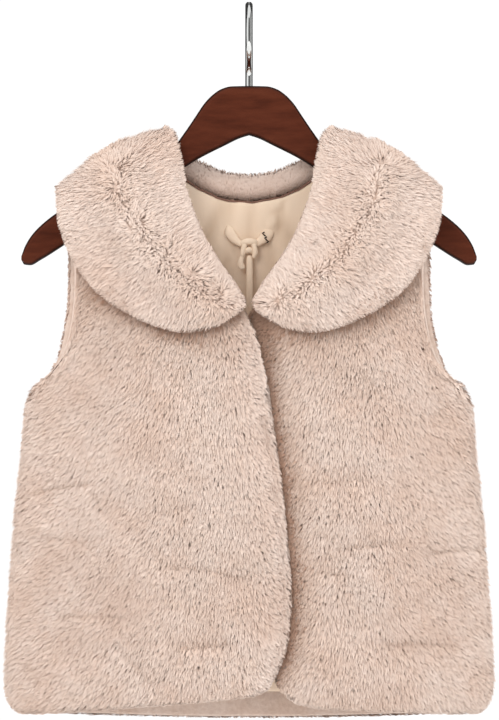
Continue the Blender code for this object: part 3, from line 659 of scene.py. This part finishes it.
def scatter(mesh, furred, count, rng):
    """Roots spread evenly over the furred faces: their places, smooth normals and the cloth's depth."""
    mesh.calc_loop_triangles()
    corners = np.empty(len(mesh.loop_triangles) * 3, np.int32)
    mesh.loop_triangles.foreach_get("vertices", corners)
    owner = np.empty(len(mesh.loop_triangles), np.int32)
    mesh.loop_triangles.foreach_get("polygon_index", owner)
    corners = corners.reshape(-1, 3)[furred[owner]]
    points, normals = points_of(mesh), normals_of(mesh)
    a, b, c = (points[corners[:, k]] for k in range(3))
    area = norms(np.cross(b - a, c - a)) / 2
    strip = 3 * MM
    order = np.argsort(np.round(a[:, 2] / strip) * 10 + np.round(a[:, 0] / strip) * 0.001)
    total = np.cumsum(area[order])
    marks = (np.arange(count) + rng.uniform(0, 1, count)) / count * total[-1]
    chosen = order[np.searchsorted(total, marks).clip(0, len(order) - 1)]
    u, v = rng.uniform(0, 1, (2, count))
    fold = u + v > 1
    u[fold], v[fold] = 1 - u[fold], 1 - v[fold]
    weights = np.stack([1 - u - v, u, v], axis=1)
    roots = (points[corners[chosen]] * weights[..., None]).sum(axis=1)
    ups = (normals[corners[chosen]] * weights[..., None]).sum(axis=1)
    thick = np.empty(len(points), np.float32)
    mesh.attributes["deep"].data.foreach_get("value", thick)
    deep = (thick[corners[chosen]] * weights).sum(axis=1)
    return roots, unit(ups), deep


def level_with(vectors, normals):
    """The part of each vector that lies along the surface."""
    return vectors - normals * (vectors * normals).sum(axis=1, keepdims=True)


def laid(way, normals, strength, least):
    """A way laid level with the surface, and its strength, which is less where it meets it steeply."""
    level = level_with(way, normals)
    share = norms(level) / np.maximum(norms(way), 1e-9)
    return unit(level), strength * np.clip(share * 1.25, least, 1)


def clumped(tips, members, rng):
    """The way from each tip to the middle of its clump of about so many members, and its clump."""
    count = max(8, int(len(tips) / members))
    middles = tips[rng.choice(len(tips), count, replace=False)]
    tree = KDTree(count)
    for i, middle in enumerate(middles):
        tree.insert(middle, i)
    tree.balance()
    near = np.array([tree.find(tip)[1] for tip in tips])
    return middles[near] - tips, near


def kept_near(tips, tree, proud):
    """The tips, pulled back where they stand further out of a form than they may."""
    kept = tips.copy()
    for i, tip in enumerate(tips):
        spot, normal, _, away = tree.find_nearest(Vector(tip))
        room = proud[i] * (1 + 0.3 * normal.z)
        if away > room and (Vector(tip) - spot).dot(normal) > 0:
            kept[i] = spot + (Vector(tip) - spot) * (room / away)
    return kept


# The corners of a lock, seen along it: its root, its two sides and its tip
LOCK_FACES = np.array([[0, 1, 2], [1, 3, 2]])
LOCK_SPOTS = np.array([[0.5, 0.08], [0.1, 0.5], [0.9, 0.5], [0.5, 0.92]])
HAIR_APART = 1.37


def lock_mesh(name, roots, ups, tips, width, hump, shade, bend, own):
    """One mesh of many locks: each a slim leaf, bent at its two sides, with a root and a tip."""
    count = len(roots)
    base = roots - ups * ROOT_IN * MM
    run = tips - base
    side = unit(np.cross(ups, run))
    rise = unit(np.cross(run, side))
    half = (width / 2)[:, None]
    middle = base + run * WIDEST_AT + rise * hump[:, None]
    points = np.stack([base, middle - side * half, middle + side * half, tips], axis=1).reshape(-1, 3)
    faces = (LOCK_FACES[None] + 4 * np.arange(count)[:, None, None]).reshape(-1, 3)
    mesh = bpy.data.meshes.new(name)
    mesh.vertices.add(len(points))
    mesh.vertices.foreach_set("co", points.astype(np.float32).ravel())
    mesh.loops.add(faces.size)
    mesh.loops.foreach_set("vertex_index", faces.astype(np.int32).ravel())
    mesh.polygons.add(len(faces))
    mesh.polygons.foreach_set("loop_start", np.arange(0, faces.size, 3, dtype=np.int32))
    mesh.update(calc_edges=True)

    along = np.tile([0.0, WIDEST_AT, WIDEST_AT, 1.0], count)
    store(mesh, "along", along)
    # Each lock's lightness: random tone with painted shade and painted light
    store(mesh, "lock", np.repeat(shade, 4))
    across = np.tile([2.0, 0.0, 4.0, 2.0], count)
    number = np.repeat(np.arange(count) * HAIR_APART, 4)
    store(mesh, "hair", np.stack([across, along, number], axis=1), "FLOAT_VECTOR", "vector")

    cells = math.ceil(math.sqrt(count))
    corner = np.stack([np.arange(count) % cells, np.arange(count) // cells], axis=1)
    spots = (corner[:, None, :] + LOCK_SPOTS[None]) / cells
    bake = mesh.uv_layers.new(name="OFBake")
    bake.data.foreach_set("uv", spots.reshape(-1, 2)[faces.ravel()].astype(np.float32).ravel())

    mesh.shade_smooth()
    soft = unit(np.repeat(bend, 4, axis=0) + normals_of(mesh) * np.repeat(own, 4)[:, None])
    mesh.normals_split_custom_set_from_vertices(soft.tolist())
    mesh.materials.append(PILE)
    made = bpy.data.objects.new(name, mesh)
    bpy.context.scene.collection.objects.link(made)
    return made


# The front edge that laps over, as it is seen: the pile leans out over it
LAP_EDGE = table(
    Point,
    (12.7, -452), (24, -426.5), (27.5, -401), (24.4, -356), (17.4, -295), (12, -254), (0, -205),
)

# The upright line from which the pile of each panel falls to both sides, and how far it slants
Fall = namedtuple("Fall", "middle reach slant")
FALLS = {"front_right": Fall(-22, 128, 1.35), "front_left": Fall(66, 92, 1.15), "back": Fall(0, 150, 1.1)}

FRONTS = ("front_right", "front_left")
NO_LIMIT = 1000

# The smooth band round the armhole: how far out the pile of the front reaches beside it
BAND = table(
    Point,
    (137, -249.5), (131.3, -245), (123.3, -235), (119.9, -225), (116, -211.6), (114.4, -194.8),
    (113.9, -174.7),
)


def edge_x(z, edge):
    """The X of a drawn edge at each height."""
    return np.interp(z, [p.z for p in edge], [p.x for p in edge])


def band_x(z):
    """How far out from the middle the pile of a front reaches at a height, in metres."""
    return np.where(z / MM < BAND[0].z, NO_LIMIT, edge_x(z / MM, BAND)) * MM


def near_lap(x, z, inside, reach):
    """1 so far inside the edge that laps over, down to 0 away from there."""
    return np.exp(-(((x - edge_x(z, LAP_EDGE)) + inside) / reach) ** 2)


# The opening between the two ends of the collar, half its width at each height
OPENING = table(
    Point,
    (0, -199), (8.4, -188), (22.5, -168), (34, -148), (40.5, -128), (43.5, -116),
)


def opening_x(z):
    """Half the width of the collar's opening at a height, in metres."""
    return np.where(z / MM > OPENING[-1].z, -NO_LIMIT, edge_x(z / MM, OPENING)) * MM


def panel_flow(node, points, normals):
    """The way the pile of a panel lies, and how strongly."""
    fall = FALLS[node]
    x, z = points[:, 0] / MM, points[:, 2] / MM
    share = np.clip((x - fall.middle) / fall.reach, -1.2, 1.2)
    slant = fall.slant * np.sign(share) * np.abs(share) ** 1.15
    if node == "front_right":
        slant += 1.2 * near_lap(x, z, 4, 11)
    slant += 0.2 * waves(points, (75, 42), 3)
    way = np.stack([slant, np.zeros(len(x)), -np.ones(len(x))], axis=1)
    strength = 0.8 + 0.12 * waves(points, (46, 27), 9)
    return laid(way, normals, strength, 0.15)


# The middle of the collar's leaf, from the centre front over the shoulder to the centre back
LEAF_MIDDLE = {
    FRONT: table(
        Point, (12, -201), (27, -194), (44, -183), (60, -168), (73, -150), (83, -130), (90, -108)
    ),
    BACK: table(Point, (91, -108), (82, -128), (66, -140), (36, -150), (0, -153)),
}
LEAF_REACH = 7


def collar_flow(points, normals):
    """The way the collar's pile lies: away from the middle of its leaf, where it stands up."""
    flows = np.zeros_like(points)
    for face, spots in LEAF_MIDDLE.items():
        line = np.array(spots, float) * MM
        chosen = points[:, 1] * face > 0
        dense = np.linspace(0, len(line) - 1, 160)
        order = np.arange(len(line))
        x, z = (np.interp(dense, order, line[:, k]) for k in range(2))
        middle = np.concatenate([np.stack([x, z], axis=1), np.stack([-x, z], axis=1)])
        gap = points[chosen][:, None, [0, 2]] - middle[None]
        away = (gap**2).sum(axis=2)
        weight = np.exp(-(away / (2 * (LEAF_REACH * MM) ** 2)).clip(0, 60)) + 1e-12 / away
        mean = (gap * weight[..., None]).sum(axis=1) / weight.sum(axis=1, keepdims=True)
        flows[chosen] = np.stack([mean[:, 0], np.zeros(len(mean)), mean[:, 1]], axis=1)
    reach = norms(flows) / MM
    sway, droop = (waves(points, (19, 11), seed) for seed in (11, 12))
    wobble = np.stack([sway, np.zeros(len(points)), droop - 0.5], axis=1)
    way = flows / MM / 16 + 0.34 * wobble
    return laid(way, normals, np.clip(0.36 + reach / 36, 0, 0.95), 0.1)


def crease_marks(roots, face):
    """How near each root is to the line of a crease, from 0 to 1."""
    near = np.zeros(len(roots))
    for crease in CREASES[face]:
        near = np.maximum(near, crease_shape(roots, crease, 0.62) * min(-crease.depth / 2.4, 1))
    return near


def length_share(roots, ups, deep, face):
    """The share of its full length that the pile has at each root, and how near a rim the root is."""
    full = np.clip(deep / (PILE_FULL * MM), SHORTEST, 1.0)
    rim = np.clip(1.02 - full, 0, 1) ** 0.7
    if face:
        short = on_armhole(roots, ups)
        return full * np.where(short, SHORN, 1.0), np.maximum(rim, short)
    short = in_neck(roots, ups)
    full *= np.where(short, SHORN, np.where(on_roll(roots, ups), ROLL_LENGTH, 1.0))
    return full, np.where(short, 0.05, rim)


def keep_clear(node, roots, tips, rng):
    """Moves tips off the band round the armhole, and out of the opening of the collar."""
    if node in FRONTS:
        reach = band_x(tips[:, 2]) + rng.normal(0.3, 0.5, len(tips)) * MM
        tips[:, 0] = np.sign(tips[:, 0]) * np.minimum(np.abs(tips[:, 0]), reach)
    if node == "collar":
        reach = opening_x(tips[:, 2]) - rng.normal(0.6, 0.6, len(tips)) * MM
        seen = tips[:, 1] < 0
        tips[seen, 0] = (np.sign(roots[:, 0]) * np.maximum(np.abs(tips[:, 0]), reach))[seen]


Locks = namedtuple("Locks", "roots ups tips strength fine creased clump")


def shade_of(locks, node, seed, rng):
    """How light each lock is, from 0 to 1: uneven at random, with painted shade in a crease and under what
    lies over the panel, and painted light on the fine locks, at the lap's edge, towards the collar's edges,
    in the neck and on the roll.
    """
    roots = locks.roots
    tone = rng.normal(0, 1, locks.clump.max() + 1)[locks.clump]
    shade = 0.62 + 0.09 * waves(roots, (24, 13), seed + 40) + 0.05 * tone + rng.normal(0, 0.05, len(roots))
    # Painted highlight on the fine locks, whose tips catch the light, and painted shade along each crease
    shade += np.where(locks.fine, 0.08, -0.04) - 0.25 * locks.creased
    # Painted shadow under what lies over the panel: the collar, and the front that laps over
    for over, reach in OVER.get(node, ()):
        cover = tree_of(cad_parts[over].data)
        gap = np.array([cover.find_nearest(Vector(tip))[3] for tip in locks.tips])
        shade -= np.exp(-gap / (reach * MM))
    if node == "collar":
        # Painted shade in the middle of the collar's leaf, where the pile stands end-on, and painted light
        # towards its edges and on the neck strip and the roll, whose light is blocked
        pale = in_neck(roots, locks.ups) | on_roll(roots, locks.ups)
        shade += 0.3 * np.clip(locks.strength - 0.5, -0.1, 0.4) + 0.4 * pale
    if node == "front_right":
        # Painted highlight along the rim of the front that laps over
        x, z = roots[:, 0] / MM, roots[:, 2] / MM
        shade += 0.25 * near_lap(x, z, 5, 9)
    return np.clip(shade, 0, 1)


def grow(name, pile, ground, full_form, furred, seed):
    """Grows pile on the furred faces of a ground, as one piece."""
    node, face, count = pile.node, pile.face, pile.count
    rng = np.random.default_rng(seed)
    roots, ups, deep = scatter(ground.data, furred, count, rng)
    if node in FRONTS:
        kept = np.abs(roots[:, 0]) < band_x(roots[:, 2])
        roots, ups, deep = roots[kept], ups[kept], deep[kept]
        count = len(roots)
    flow, strength = panel_flow(node, roots, ups) if face else collar_flow(roots, ups)
    side = unit(np.cross(ups, flow))
    fine = rng.uniform(0, 1, count) < FINE_SHARE
    astray = np.where(fine, FINE_ASTRAY, COVER_ASTRAY) + UPRIGHT_ASTRAY * np.clip(0.6 - strength, 0, 1)
    flow = unit(flow + side * rng.normal(0, astray)[:, None])
    full, rim = length_share(roots, ups, deep, face)
    creased = crease_marks(roots, face) if face else np.zeros(count)
    full *= 1 - CREASE_LOSS * creased
    long = pile.length * MM * full * rng.uniform(0.82, 1.1, count) * np.where(fine, FINE_LENGTH, COVER_LENGTH)
    lean = np.clip(strength + rng.normal(0, 0.08, count), 0.05, 0.95)
    stand = np.sqrt(1 - lean**2)
    tips = roots + flow * (long * lean)[:, None] + ups * (long * stand)[:, None]
    pull, clump = clumped(tips, CLUMP, rng)
    tips += GATHER * level_with(pull, ups)
    tips += side * rng.normal(0, 0.3 * MM, (count, 1))
    proud = rng.uniform(*(PROUD if face else COLLAR_PROUD), count)
    tips = kept_near(tips, full_form, proud * MM)
    keep_clear(node, roots, tips, rng)
    width = np.where(fine, FINE_WIDTH, COVER_WIDTH) * MM * rng.uniform(0.75, 1.25, count)
    hump = long * (0.09 + 0.07 * rng.uniform(0, 1, count))
    shade = shade_of(Locks(roots, ups, tips, strength, fine, creased, clump), node, seed, rng)
    tilt = np.stack([waves(roots, (30, 17), 61 + k) for k in range(3)], axis=1)
    bend = unit(ups + TILT * level_with(tilt, ups))
    own = OWN_NORMAL + RIM_NORMAL * rim
    fur = lock_mesh(name, roots, ups, tips, width, hump, shade, bend, own)
    return fixed(fur)


def panel_furred(middles, normals, face):
    """The faces of a panel that carry pile: its outside and its free edges, and not its side seams."""
    out = outward(middles, normals) > -0.15
    seam = (np.abs(middles[:, 1]) < 0.6 * MM) & (normals[:, 1] * face < -0.6)
    return out & ~seam


# The piles: how many locks each piece of one has, the seed of each piece, and the locks' length
Pile = namedtuple("Pile", "node face count seeds length")
PILES = table(
    Pile,
    ("front_right", FRONT, 98000, (21,), 10),
    ("front_left", FRONT, 88000, (22,), 10),
    ("back", BACK, 58000, (23, 73), 10),
    ("collar", None, 66000, (32, 33), 10.5),
)

# What lies over each panel and shades its pile, and how far its shade reaches
OVER = {
    "front_right": (("collar", 10),),
    "front_left": (("collar", 10), ("front_right", 7)),
    "back": (("collar", 8),),
}


def make_plush():
    """The grounds of the fronts, the back and the collar, each with the pieces of its pile."""
    bodies = [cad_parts[pile.node].data for pile in PILES if pile.face]
    pieces = []
    for pile in PILES:
        ground, form = make_backing(pile.node, pile.face, bodies)
        middles, normals = face_middles(ground.data)
        if pile.face:
            furred = panel_furred(middles, normals, pile.face)
        else:
            furred = ~near_panel(bodies, middles, normals) | in_neck(middles, normals)
        furs = []
        for i, seed in enumerate(pile.seeds):
            name = pile.node + "_pile" + ("_" + str(i + 1) if len(pile.seeds) > 1 else "")
            furs.append(grow(name, pile, ground, form, furred, seed))
        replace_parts(fixed(ground), pile.node)
        pieces.append((ground, furs))
    return pieces


# How far the lining hangs loose in the middle below the neck
LINING_LOOSE = 2.0


def make_lining():
    """The back's lining, loose and creased on its inner side, with painted shade kept in its creases."""
    lining = cloth_copy("back_lining", "back_lining_satin", 2)
    points, normals = points_of(lining.data), normals_of(lining.data)
    inner = outward(points, normals) < 0
    x, z = points[:, 0] / MM, points[:, 2] / MM
    loose = LINING_LOOSE * MM * np.exp(-((x / 44) ** 2) - ((z + 158) / 36) ** 2)
    creased = 1.5 * crease_height(points, LINING_CREASES)
    height = np.where(inner, np.maximum(creased + loose, -0.4 * MM), 0)
    # Painted shade, deeper where a crease sinks further
    store(lining.data, "painted_crease_shade", np.clip(-creased / MM * 0.16, 0, 0.4))
    set_points(lining.data, points + normals * height[:, None])
    lining.data.materials.append(SATIN)
    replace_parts(lining, "back_lining")
    return fixed(lining)


def smooth(value, knots, levels):
    """A curve through (knots, levels) that never overshoots them."""
    knots, levels, value = (np.asarray(a, float) for a in (knots, levels, value))
    slope = np.diff(levels) / np.diff(knots)
    turn = np.empty_like(levels)
    turn[0], turn[-1] = slope[0], slope[-1]
    before, after = slope[:-1], slope[1:]
    same = before * after > 0
    turn[1:-1] = np.where(same, 2 * before * after / np.where(same, before + after, 1.0), 0.0)
    i = np.clip(np.searchsorted(knots, value) - 1, 0, len(knots) - 2)
    width = knots[i + 1] - knots[i]
    t = np.clip((value - knots[i]) / width, 0, 1)
    start = levels[i] * (1 + 2 * t) * (1 - t) ** 2 + width * turn[i] * t * (1 - t) ** 2
    end = levels[i + 1] * t * t * (3 - 2 * t) + width * turn[i + 1] * t * t * (t - 1)
    return start + end


WELD = 0.000002


def loft(name, along, round_, point_of, finish):
    """A closed round form: a grid laid by point_of(along, round), joined up and capped."""
    deselect()
    bpy.ops.mesh.primitive_grid_add(x_subdivisions=along, y_subdivisions=round_, size=2)
    made = bpy.context.object
    made.name = made.data.name = name
    for vertex in made.data.vertices:
        vertex.co = Vector(point_of((vertex.co.x + 1) / 2, (vertex.co.y + 1) / 2)) * MM
    bpy.ops.object.mode_set(mode="EDIT")
    bpy.ops.mesh.select_all(action="SELECT")
    bpy.ops.mesh.remove_doubles(threshold=WELD)
    bpy.ops.mesh.select_all(action="DESELECT")
    bpy.ops.mesh.select_non_manifold()
    bpy.ops.mesh.fill_holes(sides=0)
    bpy.ops.mesh.select_all(action="SELECT")
    bpy.ops.mesh.normals_make_consistent(inside=False)
    bpy.ops.object.mode_set(mode="OBJECT")
    bpy.ops.object.shade_smooth_by_angle(angle=math.radians(50))
    made.data.materials.append(finish)
    return fixed(made)


# The hanger's outline on one side: over its crown, down its arm to the tip, and its lower edge
WOOD_TOP = table(
    Point,
    (0, -51.5), (12, -51.8), (18.5, -53.6), (24, -57.2), (29.5, -62.8), (36.2, -72.6),
    (43, -82.6), (49.6, -91), (60, -97), (75, -104.5), (89, -112.5), (102.5, -120.5),
    (118.6, -130.5), (128.6, -136.5), (136.7, -142.6), (144.7, -150.6), (150.1, -159.3),
    (152.2, -165.6),
)
WOOD_UNDER = table(
    Point,
    (0, -84.5), (6, -86.4), (16, -91.2), (32.8, -99.7), (45.6, -107.7), (84, -132.4),
    (122.6, -157.3), (140, -168.3), (146.6, -171.6), (150.4, -171.2), (152.2, -168.2),
)
WOOD_THICK = 12.0
WOOD_ROUND = 4.2


def wood_point(along, around):
    """A point of the hanger: its section at along is a slab with quarter-round corners."""
    x = WOOD_TOP[-1].x * math.sin((along - 0.5) * math.pi)
    top = float(smooth(abs(x), *zip(*WOOD_TOP)))
    under = float(smooth(abs(x), *zip(*WOOD_UNDER)))
    half_y, half_z = WOOD_THICK / 2, (top - under) / 2
    rounded = min(WOOD_ROUND, 0.9 * half_z)
    quarter, share = divmod(around * 4 % 4, 1)
    side_y, side_z = ((1, 1), (1, -1), (-1, -1), (-1, 1))[int(quarter)]
    turn = share * math.pi / 2
    if side_y != side_z:
        turn = math.pi / 2 - turn
    y = side_y * (half_y - rounded + rounded * math.sin(turn))
    z = (top + under) / 2 + side_z * (half_z - rounded + rounded * math.cos(turn))
    return x, y, z


# The hook: its wire, the radius inside it, how low its stem reaches into the wood, and the angles
# between which it goes round the rail
WIRE = 5.0
HOOK_INSIDE = 17.0
STEM_LOW = -60.0
CROWN_Z = WOOD_TOP[0].z
HOOK_TURNS = (238, -38)
HOOK_LEAD = 7.0


def hook_route():
    """The middle of the wire, in the plane across the hanger: up the stem, out and round the rail."""
    radius = HOOK_INSIDE + WIRE / 2
    centre_z = -HOOK_INSIDE
    leave = math.radians(HOOK_TURNS[0])
    start = np.array([radius * math.cos(leave), centre_z + radius * math.sin(leave)])
    bend_low = np.array([0.0, CROWN_Z + 3.5])
    heading = np.array([math.sin(leave), -math.cos(leave)])
    route = [(0.0, STEM_LOW), (0.0, CROWN_Z - 2)]
    for t in np.linspace(0, 1, 12, endpoint=False):
        first, second = bend_low + np.array([0, HOOK_LEAD]), start - heading * HOOK_LEAD
        spot = (1 - t) ** 3 * bend_low + 3 * (1 - t) ** 2 * t * first
        route.append(tuple(spot + 3 * (1 - t) * t * t * second + t**3 * start))
    for degrees in np.linspace(*HOOK_TURNS, 60):
        angle = math.radians(degrees)
        route.append((radius * math.cos(angle), centre_z + radius * math.sin(angle)))
    return np.array(route)


def knots_of(route):
    """How far along a route each of its points is, from 0 to 1."""
    knots = np.concatenate([[0], np.cumsum(norms(np.diff(route, axis=0)))])
    return knots / knots[-1]


def along_route(route, widths, thicks):
    """A loft's point_of for a round or flat band with its middle on a route of (x, y, z) points."""
    knots = knots_of(route)
    ways = np.gradient(route, axis=0)

    def point_of(along, around):
        end = 1 - 0.5 * abs(2 * along - 1) ** 24
        middle = np.array([np.interp(along, knots, route[:, k]) for k in range(3)])
        way = np.array([np.interp(along, knots, ways[:, k]) for k in range(3)])
        way /= np.linalg.norm(way)
        flat = np.cross(way, (0, 1, 0))
        flat = flat / np.linalg.norm(flat) if np.linalg.norm(flat) > 1e-3 else np.array([1.0, 0, 0])
        proud = np.cross(flat, way)
        wide, thick = np.interp(along, knots, widths), np.interp(along, knots, thicks)
        turn = around * 2 * math.pi
        return middle + end * (flat * wide / 2 * math.cos(turn) + proud * thick / 2 * math.sin(turn))

    return point_of


def smooth_route(strands, count=24):
    """Strands as a dense smooth route with its widths and thicknesses."""
    rows = np.array(strands, float)
    knots = np.linspace(0, 1, len(rows))
    fine = np.linspace(0, 1, count)
    dense = np.stack([smooth(fine, knots, rows[:, k]) for k in range(5)], axis=1)
    return dense[:, :3], dense[:, 3], dense[:, 4]


def hook_point_of():
    """A loft's point_of for the hook's wire, with a rounded tip."""
    route = hook_route()
    knots = knots_of(route)
    ways = np.gradient(route, axis=0)

    def point_of(along, around):
        y, z = (np.interp(along, knots, route[:, k]) for k in range(2))
        dy, dz = (np.interp(along, knots, ways[:, k]) for k in range(2))
        length = math.hypot(dy, dz)
        tip = max(0.0, (along - 0.985) / 0.015)
        radius = WIRE / 2 * math.sqrt(max(1 - 0.8 * tip**2, 0.04))
        turn = around * 2 * math.pi
        out = radius * math.sin(turn) / length
        return radius * math.cos(turn), y - dz * out, z + dy * out

    return point_of


# The tie, as strands of cloth: the place of each point, its width and its thickness
Strand = namedtuple("Strand", "x y z width thick")
TAB_RIGHT = table(
    Strand,
    (-13.2, 16.4, -143, 1.6, 1.4), (-13.6, 15.2, -146, 4.2, 2.6), (-12.8, 14.2, -149.4, 7.4, 3.4),
    (-10.2, 13.6, -153, 6.4, 3.4), (-7.2, 13.2, -155.8, 4.6, 3.4), (-4.4, 12.8, -157.6, 4.2, 3.6),
)
TAB_LEFT = table(
    Strand,
    (14.8, 16.4, -146.4, 1.8, 1.4), (14, 15.2, -148.4, 6.4, 2.4), (11.8, 14.2, -151.2, 8, 3.2),
    (8.8, 13.6, -154, 6.4, 3.4), (6.2, 13.2, -156.2, 4.8, 3.4), (4, 12.8, -157.6, 4.2, 3.6),
)
SHORT_END = table(
    Strand,
    (-3.6, 12.2, -162, 2.8, 2.4), (-4.8, 11.6, -165.6, 3, 2.2), (-5.8, 11.4, -169.6, 3.8, 2.2),
    (-4.8, 11.4, -172.4, 4.2, 2), (-3.4, 11.8, -171, 2.4, 1.4),
)
KNOT_STRANDS = (
    table(
        Strand,
        (-5.4, 13.4, -158.6, 3.6, 2.6), (-3.6, 11.6, -156.2, 4.4, 3.2),
        (0.2, 10.9, -155.2, 4.6, 3.4), (3.8, 11.6, -156, 4.4, 3.2), (5.4, 13.4, -158.4, 3.6, 2.6),
    ),
    table(
        Strand,
        (-1.6, 12.6, -155, 3, 2.6), (-3.2, 11, -158.6, 3.6, 2.8), (-4.2, 10.9, -162.4, 3.4, 2.6),
        (-4.4, 11.6, -165.6, 2.8, 2.2),
    ),
    table(
        Strand,
        (1.8, 12.6, -155, 3, 2.6), (3.6, 10.9, -158.8, 3.8, 3), (4.2, 10.8, -162.6, 3.6, 2.8),
        (2.8, 11.6, -166.4, 2.8, 2.2),
    ),
    table(
        Strand,
        (-3, 12.4, -162.8, 2.8, 2.2), (0, 10.7, -161, 4.2, 3), (3, 12.4, -162.8, 2.8, 2.2),
    ),
)
BARTACK_AWAY = 12.0
BARTACK = table(Point, (9.6, -149.4), (10.4, -151.0), (11.2, -152.6), (11.8, -154.2), (12.6, -155.6))


def band(name, strands, finish, along=30, round_=16):
    """A band of cloth or thread along its strands."""
    return loft(name, along, round_, along_route(*smooth_route(strands)), finish)


def joined(name, pieces):
    """Several pieces as one."""
    deselect()
    for piece in pieces:
        piece.select_set(True)
    bpy.context.view_layer.objects.active = pieces[0]
    bpy.ops.object.join()
    made = bpy.context.object
    made.name = made.data.name = name
    return made


def make_tie():
    """The sewn tabs of the tie, its knot of crossing strands and its short end."""
    ends = {"tie_tab_right": TAB_RIGHT, "tie_tab_left": TAB_LEFT, "tie_end_short": SHORT_END}
    for node, rows in ends.items():
        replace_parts(band(node + "_satin", rows, SATIN), node)
    strands = [band("knot_strand", rows, SATIN) for rows in KNOT_STRANDS]
    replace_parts(joined("tie_knot_satin", strands), "tie_knot")
    stitches = []
    for i, spot in enumerate(BARTACK):
        reach = 1.5 if i % 2 else -1.5
        rows = (
            Strand(spot.x - 0.9, BARTACK_AWAY, spot.z + 0.4 * reach, 0.7, 0.5),
            Strand(spot.x, BARTACK_AWAY - 0.25, spot.z, 0.9, 0.7),
            Strand(spot.x + 0.9, BARTACK_AWAY, spot.z - 0.4 * reach, 0.7, 0.5),
        )
        stitches.append(band("stitch", rows, THREAD, along=8, round_=8))
    joined("tab_bartack", stitches)


# The free end of the tie: its route straight down from the knot, in millimetres
LONG_END = table(
    Point,
    (0.2, -164.6), (0.4, -178), (0.3, -190), (0, -203), (-0.2, -216), (0, -229),
)
LONG_END_THICK = 4.4
LONG_END_FLAT = 0.55


def make_long_end():
    """The free end, a narrow flattened tube of the lining's cloth."""
    low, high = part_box("tie_end_long")
    depth = (low.y + high.y) / 2 / MM
    size = (LONG_END_THICK, LONG_END_THICK * LONG_END_FLAT)
    rows = [Strand(spot.x, depth, spot.z, *size) for spot in LONG_END]
    made = band("tie_end_long_satin", rows, SATIN, along=60)
    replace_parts(made, "tie_end_long")


def make_neck_seam(lining):
    """The dark piping between the lining and the plush inside the back of the neck."""
    points = points_of(lining.data) / MM
    rows = []
    for x in np.linspace(-46, 46, 25):
        near = points[np.abs(points[:, 0] - x) < 2.4]
        top = near[np.argmax(near[:, 2])]
        rows.append(Strand(x, top[1] - 0.9, top[2] + 0.2, 1.1, 1.1))
    band("neck_piping", rows, PIPING, along=90, round_=8)


def make_hanger():
    """The stained wood of the hanger and its wire hook."""
    wood = loft("hanger_wood_stained", 240, 32, wood_point, WOOD)
    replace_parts(wood, "hanger_wood")
    hook = loft("hanger_hook_wire", 200, 24, hook_point_of(), CHROME)
    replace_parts(hook, "hanger_hook")


make_camera()
make_studio()
PILE, GROUND, SATIN = plush_finish(), backing_finish(), satin_finish()
WOOD, CHROME = wood_finish(), chrome_finish()
THREAD = thread_finish("bartack_thread", (0.045, 0.03, 0.02))
PIPING = thread_finish("neck_piping", (0.24, 0.12, 0.085))
make_long_end()
plush = make_plush()
lining = make_lining()
make_neck_seam(lining)
make_tie()
make_hanger()
